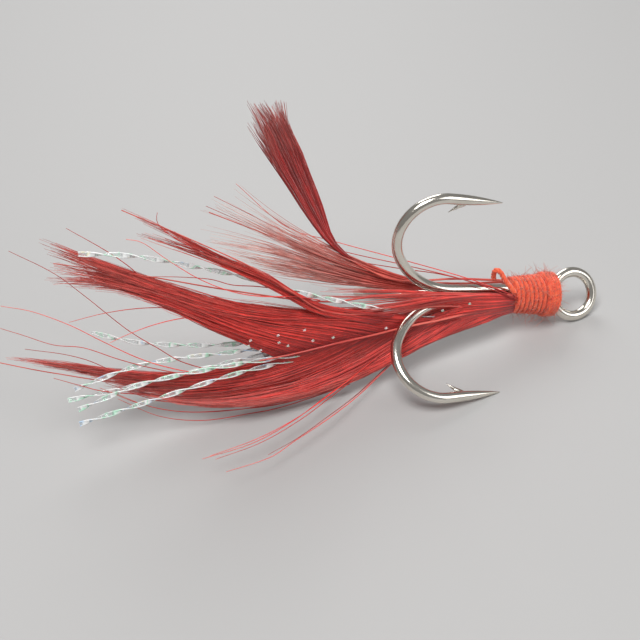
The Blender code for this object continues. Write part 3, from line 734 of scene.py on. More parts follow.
# %% Guide barbs
# Each row of barbs has its guides. A guide has its depths y at the root, the middle and the tip, or at
# every point, and then its points from root to tip as (millimetres behind the wrap, z).
GUIDES = {
    "front_hackle_lower_barbs": [
        ((-1.3, -2.7, -4), [(-0.6, -0.8), (2.4, -1.9), (5.6, -2.6), (8.3, -3.3), (11.2, -4.8),
          (14.5, -6.5), (17.9, -7.8)]),
        ((-1.5, -3.3, -4.8), [(3.3, -0.8), (6.4, -1.8), (9.7, -3.9), (13.1, -5.6), (16.9, -7.3),
          (21.7, -8.5), (27, -8.7)]),
        ((-1.6, -3.1, -3.6), [(7.3, -1.7), (10.2, -3.3), (13.4, -5.5), (17.2, -7.4), (21.9, -8.9),
          (27.6, -9.4), (33.2, -8.5)]),
        ((-2, -1.8, -0.6), [(10.9, -2.1), (13.5, -4.1), (16.6, -6.2), (20.6, -8.3), (25.7, -9.8),
          (31.2, -10.4), (36.7, -9.6)]),
        ((-2.2, -1.4, -0.2), [(14.3, -2.8), (16.9, -4.6), (19.9, -6.4), (23.9, -8.1), (29, -9.2),
          (34, -9.3), (39, -8.2)]),
        ((-2.3, -0.8, 0.2), [(17.6, -3.5), (20.1, -5.2), (23.1, -6.9), (27.1, -8.1), (32.2, -8.8),
          (37.2, -8.2), (42.5, -7)]),
        ((-2.2, -0.4, 0.3), [(20.4, -4.3), (22.8, -5.9), (25.9, -7.2), (29.9, -8.2), (34.4, -8.3),
          (39.4, -7.6), (45.1, -6.4)]),
        ((-1.6, 0, 0.3), [(22.9, -5.4), (25.4, -6.8), (28.5, -7.8), (32.1, -8.2), (36.7, -7.8),
          (41.7, -6.9), (47.3, -6)]),
    ],
    "front_hackle_upper_barbs": [
        ((-1.6, -1.8, -1.2), [(7.3, -1.7), (11.5, -1), (15.6, -0.4), (19.4, -0.7), (23.2, -0.3),
          (26.8, 0), (30.1, 0.8)]),
        ((-1.9, -2, -1.1), [(10.3, -2.1), (14.6, -1.1), (19, -0.7), (23.8, -0.3), (28, 0.4), (32.5, 1.9),
          (37.3, 3.5)]),
        ((-2.1, -2.1, -1), [(13.3, -2.7), (17.9, -1.6), (22.8, -0.8), (27.5, 0.1), (32.1, 1.6),
          (36.5, 3.1), (41.5, 4.9)]),
        ((-2.2, -2.1, -1), [(16.2, -3.2), (20.3, -2.2), (24.6, -1.3), (29.4, 0.3), (33.9, 2), (38.6, 3.8),
          (44, 6.1)]),
        ((-2.3, -2, -1), [(18.8, -3.8), (22.6, -2.6), (26.4, -1.4), (30.2, 0.2), (34.3, 1.8), (38.6, 3.1),
          (42.9, 4)]),
        ((-2.2, -1.9, -1), [(21, -4.5), (24.3, -3.2), (27.6, -1.7), (31, -0.1), (34.7, 1.6), (39, 2.8),
          (44.6, 2.3)]),
        ((-1.9, -1.7, -1), [(23, -5.2), (25.6, -3.9), (28.3, -2.5), (31.2, -0.8), (34.1, 0.6),
          (36.8, 1.8), (39.7, 2.5)]),
    ],
    "front_hackle_under_barbs": [
        ((0.2, 0.4, 0.6), [(6.3, -3), (10.5, -2.5), (14.7, -1.8), (18.5, -2.2), (22.5, -1.8),
          (26.2, -1.4), (29.6, -0.4)]),
        ((0.2, 0.4, 0.6), [(9.3, -3.6), (13.5, -2.7), (18, -2.4), (22.9, -1.9), (27.3, -1.1), (32, 0.6),
          (37, 2.4)]),
        ((0.2, 0.4, 0.6), [(12.2, -4.3), (16.9, -3.3), (21.9, -2.5), (26.8, -1.6), (31.5, 0), (36.1, 1.9),
          (41.3, 4)]),
        ((0.2, 0.4, 0.6), [(15.1, -4.9), (19.2, -4.1), (23.8, -3), (28.6, -1.3), (33.3, 0.5), (38.3, 2.5),
          (43.8, 5.1)]),
        ((0.2, 0.4, 0.6), [(17.8, -5.6), (21.6, -4.4), (25.6, -3.1), (29.5, -1.4), (33.8, 0.4),
          (38.2, 1.9), (42.7, 3)]),
        ((0.2, 0.4, 0.6), [(20.1, -6.3), (23.5, -5), (26.8, -3.4), (30.3, -1.6), (34.2, 0.2), (38.7, 1.6),
          (44.4, 1.3)]),
        ((0.2, 0.4, 0.6), [(22.3, -6.8), (24.8, -5.5), (27.7, -3.9), (30.6, -2.3), (33.7, -0.8),
          (36.4, 0.6), (39.5, 1.4)]),
    ],
    "collar_barbs": [
        ((-1, -1.3, 0.2), [(-0.4, 0.7), (2.6, 1), (5.8, 1), (8.8, 1.2), (12.3, 1.4), (16.5, 1.3),
          (20, 1)]),
        ((-1.2, -1.6, -2, -2.4, -2.4, -2.1, -2), [(-0.4, 0.5), (3, 1), (6, 1.1), (9.2, 1.1), (12.1, 0.5),
          (15.3, -0.1), (18.2, 0)]),
        ((-1.4, -1.7, -1.6, -0.7, -0.7, -1.6, -2), [(-0.4, 0.2), (2.8, 0.3), (5.7, 0.2), (7.8, -1.4),
          (10.4, -2), (13.8, -1.8), (16.9, -1.6)]),
        ((-1.4, -1.8, -2, -1.7, -1.6, -2, -2.4), [(-0.6, -0.4), (2.6, -0.5), (5.6, -0.8), (8.1, -1.8),
          (10.5, -3.2), (13.5, -4.1), (16.4, -5)]),
        ((-1.3, -2.1, -2.8), [(-0.8, -1.1), (2.2, -1.7), (5.1, -2.3), (8, -3.1), (10.4, -4.7),
          (13.2, -6.2), (16.1, -7.6)]),
    ],
    "crest_hackle_lower_barbs": [
        ((-1.5, -1.3, -1), [(12, -0.9), (16.4, -0.6), (21.2, -0.7), (25.4, -0.5), (29.6, 0.4),
          (34.2, 1.9), (39, 3.5)]),
        ((-1.5, -1.2, -0.9), [(16.9, -0.8), (21.2, -1), (25.4, -1), (30, 0), (34.6, 1.7), (38.9, 3),
          (43.5, 4.5)]),
        ((-1.4, -1.1, -0.9), [(21.1, -1.3), (24.9, -1.3), (28.6, -0.7), (32.3, 0.6), (35.9, 2),
          (39.8, 2.9), (43.9, 2.7)]),
    ],
    "crest_hackle_upper_barbs": [
        ((-1.5, -1.2, -0.8), [(15.5, -0.6), (19.8, -0.7), (24.1, -0.3), (28.3, 0.2), (32.9, 1.7),
          (38.1, 3.8), (43.2, 5.7)]),
        ((-1.4, -1.1, -0.8), [(19.3, -0.9), (23.6, -0.5), (27.8, 0), (32.4, 1.5), (36.4, 3), (40.7, 4.7),
          (45.2, 6.7)]),
    ],
    "top_hackle_lower_barbs": [
        ((-2.2, -2.5, -3), [(13.1, -1.2), (16.7, -0.4), (20.3, 0.6), (24.4, 3), (28.7, 5.1), (33.3, 7.3),
          (37.9, 9)]),
        ((-2.2, -2.5, -3), [(14, -1.6), (17.2, -0.8), (20.5, 0.2), (24.6, 2.7), (28.5, 4.8), (32.4, 6.6),
          (36.3, 8.2)]),
    ],
    "top_hackle_upper_barbs": [
        ((-2.2, -2.5, -3.1), [(12.3, -0.6), (16.3, 0), (20.4, 1.1), (25.4, 4), (30.2, 6.2), (34.7, 8.8),
          (38.5, 10.8)]),
        ((-2.2, -2.5, -3.1), [(12.7, -0.9), (16.6, -0.1), (20.4, 0.8), (25.1, 3.5), (29.9, 5.9),
          (34.1, 8.3), (37.9, 10.3)]),
    ],
    "rear_hackle_upper_barbs": [
        ((2.2, 3.8, 5.2), [(7.2, -0.2), (11.3, 0.7), (16, 2.4), (21.1, 4.7), (24.4, 6.8), (27, 8.8)]),
        ((2.2, 3.9, 5.2), [(7.2, -0.3), (11.8, 0.5), (16.9, 2.1), (21.9, 4.2), (25.9, 6.2), (28.8, 7.7)]),
        ((2.3, 4, 5.2), [(7.1, -0.5), (12.2, 0.2), (17.8, 1.8), (22.8, 3.8), (26.2, 5.3), (29.4, 6.6)]),
        ((2.3, 4, 5.1), [(7.1, -0.6), (12.1, 0), (17.7, 1.4), (22.7, 3.1), (27, 4.1), (30.7, 4.8)]),
    ],
    "rear_hackle_lower_barbs": [
        ((2.3, 4, 5.1), [(7.1, -0.6), (12.1, -0.2), (17.7, 1.2), (22.6, 2.7), (26.4, 3.4), (30, 3.8)]),
        ((2.3, 3.9, 5), [(7, -0.7), (12.1, -0.3), (17.6, 0.7), (22, 1.7), (25.8, 2.3), (29.1, 2.9)]),
        ((2.3, 3.8, 4.9), [(7, -0.9), (12.1, -0.5), (17, 0.1), (21.4, 0.7), (24.8, 1.3), (27.4, 1.8)]),
        ((2.3, 3.7, 4.7), [(7, -1), (11.5, -0.8), (15.9, -0.6), (19.9, -0.2), (22.7, 0.1), (25.1, 0.4)]),
    ],
    "upright_tuft_left_barbs": [
        ((3.4, 5.4, 7.8), [(15.2, 1.7), (18, 3.7), (20.2, 6.1), (21.9, 8.3), (23.6, 10.4), (24.8, 11.7),
          (25.7, 12.7)]),
        ((3.4, 5.6, 8.2), [(15.1, 1.7), (17.8, 3.7), (19.8, 6.1), (21.4, 8.4), (23, 10.6), (24.5, 13.1),
          (26.1, 15.5)]),
        ((3.4, 5.7, 8.3), [(15, 1.7), (17.6, 3.7), (19.4, 6.3), (20.9, 8.6), (22.4, 11.1), (23.8, 13.4),
          (25.3, 15.2)]),
        ((3.4, 5.7, 8.3), [(15, 1.7), (17.4, 3.7), (19, 6.5), (20.4, 8.9), (21.7, 11.5), (23.1, 13.8),
          (24.1, 15.5)]),
    ],
    "upright_tuft_right_barbs": [
        ((3.4, 5.7, 8.3), [(15, 1.7), (17.6, 3.7), (19.5, 6.2), (21.1, 8.5), (22.6, 11), (24, 13.3),
          (25.6, 15.1)]),
        ((3.4, 5.8, 8.4), [(14.9, 1.7), (17.3, 3.6), (18.8, 6.5), (20.1, 9.1), (21.4, 11.7), (22.8, 13.9),
          (23.6, 15.5)]),
        ((3.4, 5.8, 8.4), [(14.8, 1.7), (17.1, 3.6), (18.6, 6.8), (19.7, 9.1), (20.9, 11.5), (22.2, 13.6),
          (22.6, 15.6)]),
    ],
}


def guide_route(depths, places):
    """A guide's points in the shanks' frame, with depths rounded to a tenth of a millimetre."""
    last = len(places) - 1
    if len(depths) == 3:
        depths = [round(between(depths, k / last), 1) for k in range(last + 1)]
    return [behind_wrap((behind, y, z)) for y, (behind, z) in zip(depths, places)]


print("guide barbs:", sum(len(row) for row in GUIDES.values()))

# %% The feathers' barbs
# The way each row's barbs lie: how many, how far they spread in layers as a direction in millimetres, how
# many clumps and how strongly they cling, how far they stray, how much shorter the shortest are, and
# their width. A row stands for the vane of its name, if the part has one, or for the vane that it gives.
COMMON = dict(finish=RED_BARBS, vane=None, Ragged=0.25, Clumps=10.0, Cling=0.4, Wander=0.8, Width=0.13,
              Thickness=0.07)
CREST = dict(stack=(0, 0.6, 0.15), Ragged=0.4)
TOP = dict(barbs=50, stack=(0, 0.25, 0.05), Ragged=0.4, Wander=1.6)
REAR = dict(finish=PALE_TIP_BARBS, Width=0.1, Ragged=0.45, Wander=1.2)
TUFT = dict(finish=DEEP_BARBS, stack=(0.1, 0.7, -0.3), Clumps=4.0, Cling=0.5)
ROWS = {
    "front_hackle_lower_barbs": dict(barbs=1300, stack=(0, -0.25, 0.3), Clumps=30.0, Ragged=0.5, Wander=1.2),
    "front_hackle_upper_barbs": dict(barbs=620, stack=(0, 0.3, 0.1), Clumps=8.0, Cling=1.1, Ragged=0.5,
                                     Wander=2.0),
    "front_hackle_under_barbs": dict(barbs=300, stack=(0, 0.35, 0.1), Clumps=8.0, Cling=1.1, Ragged=0.5),
    "collar_barbs": dict(barbs=300, stack=(0, -0.15, 0.1), Ragged=0.5),
    "crest_hackle_lower_barbs": dict(CREST, barbs=170),
    "crest_hackle_upper_barbs": dict(CREST, barbs=110),
    "top_hackle_lower_barbs": TOP,
    "top_hackle_upper_barbs": TOP,
    "rear_hackle_upper_barbs": dict(REAR, barbs=90, stack=(0, 0.9, 0.3)),
    "rear_hackle_lower_barbs": dict(REAR, barbs=150, stack=(0, 0.9, 0.2)),
    "upright_tuft_left_barbs": dict(TUFT, vane="upright_tuft_lower_vane", barbs=190, Ragged=0.2),
    "upright_tuft_right_barbs": dict(TUFT, vane="upright_tuft_upper_vane", barbs=170, Ragged=0.15),
}
GUIDE_SPACING = 0.5 * MM
BARBS_OVER_TABLE = 0.1 * MM
FIRST_SEED, SEED_STEP = 100, 20


def make_barbs(name, seed, finish, vane, barbs, stack, Wander, Width, Thickness, **habit):
    guides = new_curve(name)
    for guide in GUIDES[name]:
        add_path(guides, smooth_route(guide_route(*guide), GUIDE_SPACING))
    piece = grow(name, guides, barb_tree, Guides=len(GUIDES[name]), Barbs=barbs, Seed=seed, Material=finish,
                 Stack=TO_TABLE.to_3x3() @ Vector(stack) * MM, Table=TABLE_HEIGHT + BARBS_OVER_TABLE,
                 Wander=Wander * MM, Width=Width * MM, Thickness=Thickness * MM, **habit)
    vane = vane or name.replace("_barbs", "_vane")
    keep(piece, "red_barbs", *([vane] if vane in frame["nodes"] else []))


for row_number, (row_name, row) in enumerate(ROWS.items()):
    make_barbs(row_name, FIRST_SEED + SEED_STEP * row_number, **dict(COMMON, **row))

# %% [markdown]
# Loose barbs
#
# A few long barbs have sprung away from the vanes. No rule places them, so each is drawn as a smooth
# line through a few points.

# %% Barbs that stand alone
LOOSE_BARBS = [
    [(23.8, -0.6, -6.2), (27.4, -1.4, -7), (31.3, -1.6, -5.8), (33.9, -1.6, -4.1), (36.8, -1.4, -2.1),
     (40.6, -1.2, 1.3), (43.3, -1, 3.5), (46.9, -0.8, 5.5)],
    [(32.7, -1, 0.6), (35.3, -0.8, 2.3), (36.8, -0.6, 3.7), (39, -0.4, 5.3), (42.3, -0.2, 7.3)],
    [(25.8, -0.6, -6.9), (29.7, -1.2, -7.2), (33, -1.4, -6.3), (35.8, -1.4, -5.1), (38.9, -1.2, -3.4),
     (41.7, -1, -1.8), (44.8, -0.8, -0.5), (47.4, -0.6, 0)],
    [(26.7, -0.6, -7.2), (30.5, -1, -7.5), (34.1, -1, -6.7), (37.2, -1, -5.6), (40.3, -0.8, -4.4),
     (42.9, -0.8, -4), (45.6, -0.6, -3), (47.4, -0.4, -2.4)],
    [(28.1, -1.2, -0.6), (30.3, -1.3, -0.2), (33.4, -1.4, 0.1), (36.3, -1.5, 0.1), (39.1, -1.6, -0.3),
     (41.8, -1.6, -1.1)],
    [(27.8, -1.6, -0.7), (29.6, -1.7, -0.7), (32.2, -1.8, -0.8), (34.7, -1.9, -1.4), (36.9, -2, -2.3),
     (38.3, -2, -3.1)],
    [(20, -2.6, 1.4), (22.4, -2.7, 1.9), (25.5, -2.9, 2.1), (28.3, -3, 2.7), (31.3, -3, 4),
     (34.2, -3, 5.9), (36.4, -2.9, 7.5), (37.8, -2.8, 7.8)],
    [(22, -2.4, 2.2), (25.8, -2.4, 2.8), (28.2, -2.4, 3), (30.2, -2.4, 3.6), (32.9, -2.3, 3.8),
     (35.8, -2.2, 3.8)],
    [(31.7, -3.3, 7), (33.5, -3.4, 8), (35.1, -3.5, 9.2), (35.6, -3.5, 10), (35.6, -3.5, 10.7)],
    [(28.5, -0.5, -7.7), (33.2, -0.8, -8.2), (36.9, -0.8, -7.3), (39.8, -0.8, -5.8), (42, -0.7, -5.1),
     (44.3, -0.6, -4.7), (45.3, -0.6, -4.5)],
    [(34.1, -1.2, -9.6), (38.2, -1.2, -9), (40.5, -1.2, -8.2), (42.8, -1.2, -7.3)],
    [(10.9, -1.6, -3.9), (14.4, -3.2, -5.9), (18.3, -5.2, -7.1), (22.1, -7.4, -8.2), (26.2, -9, -9.3),
     (30.8, -9.6, -10.3)],
    [(11.3, -1.8, -4), (14.9, -3.4, -5.9), (18.4, -5.4, -7.1), (21.9, -7.2, -8.2), (25.8, -8.8, -9),
     (30.1, -9.4, -10.2)],
    [(10.3, -1.4, -4.3), (13.8, -3, -5.8), (17.8, -5, -7.4), (21.7, -7.6, -8.1), (25.7, -9.4, -9),
     (29.8, -10.2, -9.9)],
    [(9.6, -1.8, -4.3), (12.6, -3.4, -6.1), (15.7, -5.6, -7.2), (19.1, -8, -7.7), (22.8, -10, -8.5),
     (25.3, -11.2, -9.2), (29.2, -11.8, -10)],
    [(10, -1.8, -4.5), (13, -3.4, -6.4), (15.9, -5.4, -7.4), (19.2, -7.8, -7.7), (22.4, -9.6, -8.5),
     (25.3, -10.8, -9.2)],
    [(-0.3, -1.6, 0.7), (2.3, -1.2, 1.6), (5, 0.9, 1.6), (9.8, 2.4, 2.3), (16.8, 4.2, 3.4),
     (21.7, 5, 4.6), (26.8, 5.6, 8.6)],
    [(-0.3, -1.7, 0.5), (2.6, -1.1, 1.4), (5.4, 1, 1.4), (10.1, 2.6, 1.8), (16.4, 4, 2.6),
     (21.2, 4.8, 3.9), (28.7, 5.4, 7.4)],
    [(0.1, -1.6, 0.9), (3.5, -0.6, 1.6), (6.8, 1.6, 1.4), (11, 2.8, 1.4), (17.2, 4.2, 1.9),
     (23.1, 5, 3.8), (29.3, 5.6, 6.3)],
    [(15.9, -2.8, -8.2), (21.7, -3.2, -10), (25.1, -3.2, -10.7), (29.3, -3, -11.4), (33.3, -2.6, -11),
     (37.2, -2.2, -9.1)],
    [(15.5, -2.8, -8), (21.7, -3.2, -9.6), (26, -3.1, -10.2), (30.6, -2.8, -10.5), (34.2, -2.4, -10),
     (37.7, -2, -8.5)],
    [(16.5, -2.8, -8.1), (22.3, -3.2, -9.2), (25.9, -3, -9.7), (30.6, -2.6, -9.7), (34.3, -2.2, -9.2),
     (38.3, -1.6, -7.7)],
    [(17.5, -3, -8.4), (23.2, -3.2, -9.7), (27.3, -3, -10.4), (31.5, -2.8, -10.4), (35.2, -2.4, -9.6),
     (38.8, -1.8, -8.1)],
]
LOOSE_RADIUS = 0.055 * MM
LOOSE_TIP_RADIUS = 0.025 * MM
LOOSE_SPACING = 0.4 * MM
LOOSE_SIDES = 5
loose_curve = new_curve("loose_barbs")
for loose in LOOSE_BARBS:
    loose_line = smooth_route([behind_wrap(point) for point in loose], LOOSE_SPACING)
    thinning = (LOOSE_TIP_RADIUS - LOOSE_RADIUS) / (len(loose_line) - 1)
    add_path(loose_curve, loose_line, [LOOSE_RADIUS + thinning * k for k in range(len(loose_line))])
loose_barbs = grow("loose_barbs", loose_curve, wire_tree, Sides=LOOSE_SIDES, Material=RED_BARBS)
keep(loose_barbs, "red_barbs")

# %% [markdown]
# The flash
#
# Each strand is a narrow film twisted along its length, so that it shows as a chain of lenses. The tree
# turns the curve's tilt with the distance along it and sweeps a thin, flat profile. The film is rolled up
# under the thread and opens to its full width behind it.

# %% A tree for twisted film
film_tree = Tree("film", Geometry="Geometry", Half_Turn="Float", Width="Float", Root_Width="Float",
                 Opening_Start="Float", Opening_End="Float", Material="Material")
FILM_SPACING = 0.09 * MM
FILM_THICKNESS = 0.1


def make_film_tree(tree):
    give = tree.inputs
    line = tree.resample(give["Geometry"], Length=FILM_SPACING)
    run = tree.add("GeometryNodeSplineParameter", output="Length")
    turns = run / give["Half_Turn"]
    line = tree.add("GeometryNodeSetCurveTilt", {"Curve": line, "Tilt": turns * math.pi})
    # The share of each half turn, by which the film's material places its painted highlight.
    line = tree.store(line, "turn", tree.operate("FRACT", turns))
    profile = tree.add("GeometryNodeCurvePrimitiveQuadrilateral", {"Width": 1.0, "Height": FILM_THICKNESS},
                       mode="RECTANGLE")
    profile = tree.resample(profile, Count=16)
    place = tree.add("GeometryNodeInputPosition")
    across = tree.operate("ABSOLUTE", tree.add("ShaderNodeSeparateXYZ", {0: place}) * 2.0)
    rim = tree.add("ShaderNodeCombineXYZ", {"X": 1.0, "Y": 1.0 + across ** 4.0 * 1.6, "Z": 1.0})
    profile = tree.add("GeometryNodeSetPosition", {"Geometry": profile, "Position": place * rim})
    profile = tree.store(profile, "across", across)
    opening = tree.ease(run, give["Opening_Start"], give["Opening_End"])
    width = give["Root_Width"] + (give["Width"] - give["Root_Width"]) * opening
    tree.sweep(line, profile, width)


make_film_tree(film_tree)

# %% Flash strands
FLASH = {
    "flash_strand_1": (183, [(6.0, -1.6, 0.45), (10.0, -1.8, 0.7), (13.9, -2.0, 0.1), (18.9, -1.95, 1.1),
                             (22.2, -2.0, 2.0), (27.5, -2.1, 3.7), (36.4, -2.3, 5.8), (41.5, -2.3, 6.1)]),
    "flash_strand_2": (214, [(5.0, -1.4, -1.0), (12.2, -0.9, -2.3), (20.7, -0.7, -3.7), (27.3, -0.6, -4.6),
                             (34.8, -0.5, -4.3), (39.7, -0.5, -3.0)]),
    "flash_strand_3": (227, [(5.0, -1.3, -1.45), (12.2, -1.45, -2.6), (20.7, -1.3, -4.2), (26.5, -1.2, -5.0),
                             (34.7, -1.0, -6.2), (40.9, -1.1, -8.7)]),
    "flash_strand_4": (240, [(5.0, -0.9, -1.7), (12.2, -0.75, -2.95), (20.7, -0.95, -5.0), (26.5, -1.0, -6.2),
                             (34.6, -1.1, -8.3), (41.4, -1.0, -10.0)]),
    "flash_strand_5": (253, [(5.0, -0.75, -2.15), (12.2, -1.35, -3.25), (20.7, -1.75, -5.1),
                             (26.5, -1.9, -5.9), (34.7, -2.1, -7.5), (40.6, -2.0, -10.3)]),
    "flash_strand_6": (266, [(5.0, -0.2, -2.25), (12.2, -0.65, -3.6), (20.7, -1.45, -5.8), (26.5, -1.9, -7.0),
                             (33.0, -2.5, -8.8), (40.5, -2.7, -11.4)]),
}
STRAND_SPACING = 0.3 * MM
HALF_TURN = 2.9 * MM
FILM_WIDTH, FILM_ROOT_WIDTH = 0.46 * MM, 0.18 * MM
OPENING_RUN = 13 * MM
for strand_name, (strand_azimuth, strand_route) in FLASH.items():
    strand_line = smooth_route(stem_route(strand_azimuth, strand_route), STRAND_SPACING)
    strand_path = path_curve(strand_name, strand_line)
    strand = grow(strand_name.replace("strand", "film"), strand_path, film_tree, Half_Turn=HALF_TURN,
                  Width=FILM_WIDTH, Root_Width=FILM_ROOT_WIDTH, Opening_Start=STEM_UNDER_THREAD,
                  Opening_End=STEM_UNDER_THREAD + OPENING_RUN, Material=PEARL_FILM)
    keep(strand, "pearl_film", strand_name)

# %% Glints among the barbs
# Here and there a bit of film shows between the barbs that cover it. Its place is given as (millimetres
# behind the wrap, y, z).
GLINTS = [
    (25.9, -2.75, -2.7), (26, -2.75, -3.3), (23.4, -2.75, -2.2), (21, -2.75, -1.7),
    (23.2, -2.75, -3), (24.8, -2.75, -3.8), (20, -2.75, -2.9), (22.3, -2.75, -3.4),
    (18.1, -2.75, -2.6), (13.1, -2.75, -1.7), (7.5, -2.1, -0.3), (4.9, -2.1, 0.4),
]
GLINT_HALF = Vector((0.11, 0.0, 0.06)) * MM
GLINT_WIDTH = 0.17 * MM
GLINT_HALF_TURN = 1.5 * MM
glint_curve = new_curve("flash_glints")
for glint in GLINTS:
    add_path(glint_curve, [behind_wrap(glint) - GLINT_HALF, behind_wrap(glint) + GLINT_HALF])
glints = grow("flash_glints", glint_curve, film_tree, Half_Turn=GLINT_HALF_TURN, Width=GLINT_WIDTH,
              Root_Width=GLINT_WIDTH, Opening_Start=0.0, Opening_End=1.0 * MM, Material=PEARL_FILM)
keep(glints, "pearl_film")

# %% [markdown]
# The thread
#
# The wrap is one thread of three plies, wound in close turns from the tail to the eye and finished with a
# few turns on top. The tree twists three copies of the thread's line round it. A second tree plants fine
# fuzz on the thread's own surface.

# %% A tree for plied thread
ply_tree = Tree("plied_thread", Geometry="Geometry", Spacing="Float", Twist="Float", Ply_Radius="Float",
                Rough="Float", Material="Material")
PLIES = 3
PLY_OVERLAP = 1.12


def make_ply_tree(tree):
    give = tree.inputs
    line = tree.resample(give["Geometry"], Length=give["Spacing"])
    place = tree.add("GeometryNodeInputPosition")
    shaken = tree.noise(place, 1400.0) * give["Rough"]
    line = tree.add("GeometryNodeSetPosition", {"Geometry": line, "Offset": shaken})
    line = tree.add("GeometryNodeSetCurveNormal", {"Curve": line}, mode="MINIMUM_TWIST")
    plies = tree.group.nodes.new("GeometryNodeDuplicateElements")
    plies.domain = "SPLINE"
    plies.inputs["Amount"].default_value = PLIES
    tree.group.links.new(line.socket, plies.inputs["Geometry"])
    ply = Field(tree, plies.outputs["Duplicate Index"])
    run = tree.add("GeometryNodeSplineParameter", output="Length")
    phase = run / give["Twist"] * math.tau + ply * (math.tau / PLIES)
    normal = tree.add("GeometryNodeInputNormal")
    binormal = tree.operate("CROSS_PRODUCT", tree.add("GeometryNodeInputTangent"), normal)
    offset = normal * tree.operate("COSINE", phase) + binormal * tree.operate("SINE", phase)
    strands = tree.add("GeometryNodeSetPosition", {"Geometry": Field(tree, plies.outputs["Geometry"]),
                                                   "Offset": offset * give["Ply_Radius"]})
    strands = tree.store(strands, "tone", tree.random(0.0, 1.0, ply, 3))
    tree.sweep(strands, tree.circle(6), give["Ply_Radius"] * PLY_OVERLAP)


make_ply_tree(ply_tree)

# %% Thread turns and the loose end
TURN_PITCH = 0.45 * MM
REAR_TURN_RADIUS = 1.6 * MM
FRONT_TURN_RADIUS = 1.9 * MM
TOP_PITCH = 0.27 * MM
TURN_INSET = 0.3 * MM
TOP_TURNS_BACK = 0.9 * MM
TOP_TURN_RISES = (0.1 * MM, 0.12 * MM)
TAG_SPACING = 0.15 * MM
TURN_STEPS = 40
THREAD_ROUGH = 0.1 * MM
TAG_ROUTE = [(0.0, -1.3, 1.0), (0.35, -1.05, 1.4), (0.7, -0.85, 1.7), (1.0, -0.65, 2.05), (1.4, -0.4, 2.6),
             (1.75, -0.15, 2.85), (1.95, 0.08, 2.7), (1.9, 0.25, 2.2), (1.7, 0.32, 1.62)]


def turns(start, end, pitch, start_radius, end_radius):
    """A helix about the treble axis."""
    count = abs(end - start) / pitch
    steps = round(count * TURN_STEPS)
    points = []
    for k in range(steps + 1):
        share = k / steps
        radius = start_radius + (end_radius - start_radius) * share
        points.append(ALONG * (start + (end - start) * share) + radial(360 * count * share) * radius)
    return points


first_turn, last_turn = WRAP_REAR + TURN_INSET, WRAP_FRONT + TURN_INSET
close_turns = turns(first_turn, last_turn, TURN_PITCH, REAR_TURN_RADIUS, FRONT_TURN_RADIUS)
top_turns = turns(last_turn, WRAP_FRONT - TOP_TURNS_BACK, TOP_PITCH,
                  *[FRONT_TURN_RADIUS + rise for rise in TOP_TURN_RISES])
print("thread turns:", round((last_turn - first_turn) / TURN_PITCH, 1))
thread_path = path_curve("thread", close_turns + top_turns)
thread = grow("thread_turns", thread_path, ply_tree, Spacing=0.09 * MM, Twist=0.85 * MM,
              Ply_Radius=0.095 * MM, Rough=THREAD_ROUGH, Material=RED_THREAD)
tag_path = path_curve("tag", smooth_route([behind_wrap(point) for point in TAG_ROUTE], TAG_SPACING))
tag = grow("thread_loose_end", tag_path, ply_tree, Spacing=0.07 * MM, Twist=1.1 * MM, Ply_Radius=0.13 * MM,
           Rough=THREAD_ROUGH, Material=RED_THREAD)

# %% Thread underneath
# Under the turns that show, earlier turns fill the wrap: a closed, tapering core. Its points are
# (millimetres along, radius).
CORE_PROFILE = [(0.1, 0.9), (0.14, 1.35), (0.25, 1.5), (0.5, 1.54), (4.4, 1.78), (4.75, 1.8), (4.87, 1.65),
                (4.93, 1.0)]
CORE_SIDES = 48
core_path = path_curve("core", [ALONG * (WRAP_REAR + along * MM) for along, _ in CORE_PROFILE],
                       [radius * MM for _, radius in CORE_PROFILE])
core = grow("thread_core", core_path, wire_tree, Sides=CORE_SIDES, Material=RED_THREAD)
print("core:", len(core.data.polygons), "faces")

# %% A tree for fuzz
fuzz_tree = Tree("fuzz", Geometry="Geometry", Density="Float", Length="Float", Radius="Float", Curl="Float",
                 Table="Float", Seed="Int", Material="Material")
POINTS_IN_HAIR = 7


def make_fuzz_tree(tree):
    give = tree.inputs
    spread = tree.group.nodes.new("GeometryNodeDistributePointsOnFaces")
    for label in ("Density", "Seed"):
        tree.group.links.new(give[label].socket, spread.inputs[label])
    tree.group.links.new(give["Geometry"].socket, spread.inputs["Mesh"])
    line = tree.resample(tree.add("GeometryNodeCurvePrimitiveLine", {"End": Vector((0, 0, 1))}),
                         Count=POINTS_IN_HAIR)
    identity = tree.add("GeometryNodeInputIndex")
    tilt = tree.add("FunctionNodeRandomValue", {0: (-1.2, -1.2, 0.0), 1: (1.2, 1.2, 6.28), "ID": identity,
                                                "Seed": give["Seed"]}, data_type="FLOAT_VECTOR")
    turned = tree.add("FunctionNodeRotateRotation", {"Rotation": Field(tree, spread.outputs["Rotation"]),
                                                     "Rotate By": tilt}, rotation_space="LOCAL")
    size = give["Length"] * tree.random(0.0, 1.0, identity, 11) ** 2.5 + give["Length"] * 0.15
    hairs = tree.add("GeometryNodeInstanceOnPoints", {
        "Points": Field(tree, spread.outputs["Points"]), "Instance": line, "Rotation": turned, "Scale": size})
    hairs = tree.add("GeometryNodeRealizeInstances", {"Geometry": hairs})
    share = tree.add("GeometryNodeSplineParameter")
    place = tree.add("GeometryNodeInputPosition")
    bent = place + tree.noise(place, 900.0) * give["Curl"] * share
    hairs = tree.add("GeometryNodeSetPosition", {"Geometry": hairs, "Position": tree.above_table(bent)})
    hairs = tree.store(hairs, "tone", share)
    tree.sweep(hairs, tree.circle(3), give["Radius"] * (1.0 - share * 0.7))


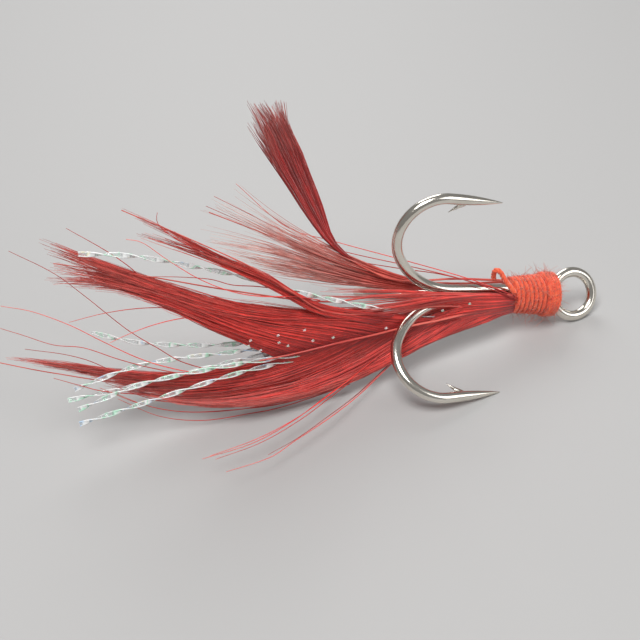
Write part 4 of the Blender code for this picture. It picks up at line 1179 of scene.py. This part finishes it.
make_fuzz_tree(fuzz_tree)
HAIR_BED = TABLE_HEIGHT + 0.03 * MM
fuzz = grow("thread_fuzz", thread.data, fuzz_tree, Density=3.0e6, Length=1.5 * MM, Radius=0.022 * MM,
            Curl=0.9 * MM, Table=HAIR_BED, Seed=5, Material=THREAD_FUZZ)
nap = grow("thread_nap", thread.data, fuzz_tree, Density=1.25e7, Length=0.3 * MM, Radius=0.02 * MM,
           Curl=0.3 * MM, Table=HAIR_BED, Seed=9, Material=RED_THREAD)
keep(thread, "red_thread", "thread_winding")
keep(core, "red_thread", "thread_underwrap")
keep(tag, "red_thread", "thread_tag")
keep(fuzz, "red_thread")
keep(nap, "red_thread")

# %% [markdown]
# Floor and light
#
# A pale floor takes the place of a table, with soft light from large lamps as in a studio. The lamps are
# large for such a small object, so its shadows are soft and the wire shows broad highlights.

# %% Floor
FLOOR_SIZE = 3.0
floor_data = bpy.data.meshes.new("floor")
half = FLOOR_SIZE / 2
corners = [(-half, -half), (half, -half), (half, half), (-half, half)]
floor_data.from_pydata([(x, y, TABLE_HEIGHT) for x, y in corners], [], [(0, 1, 2, 3)])
floor = bpy.data.objects.new("floor", floor_data)
bpy.context.scene.collection.objects.link(floor)
pale_floor = Finish("pale_floor", Base_Color=(0.46, 0.455, 0.45, 1), Roughness=0.6)
floor_data.materials.append(pale_floor.material)
print("floor: %.1f m wide" % FLOOR_SIZE)


# %% Lamps and world
def lamp(name, place, target, size, power):
    data = bpy.data.lights.new(name, "AREA")
    data.shape = "SQUARE"
    data.size = size
    data.energy = power
    made = bpy.data.objects.new(name, data)
    made.location = place
    made.rotation_euler = (Vector(target) - Vector(place)).to_track_quat("-Z", "Y").to_euler()
    bpy.context.scene.collection.objects.link(made)
    print("%s: %.2f W" % (name, power))


MIDDLE = (cad_low + cad_high) / 2
lamp("key_light", (-0.10, -0.14, 0.40), MIDDLE, 0.22, 1.5)
lamp("fill_light", (0.25, -0.25, 0.22), MIDDLE, 0.25, 0.45)
lamp("rim_light", (0.02, 0.30, 0.22), MIDDLE, 0.2, 0.5)
world = bpy.data.worlds.new("world")
world.use_nodes = True
background = world.node_tree.nodes["Background"]
background.inputs["Color"].default_value = (1, 1, 1, 1)
background.inputs["Strength"].default_value = 0.25
bpy.context.scene.world = world
bpy.context.scene.view_settings.view_transform = "Standard"
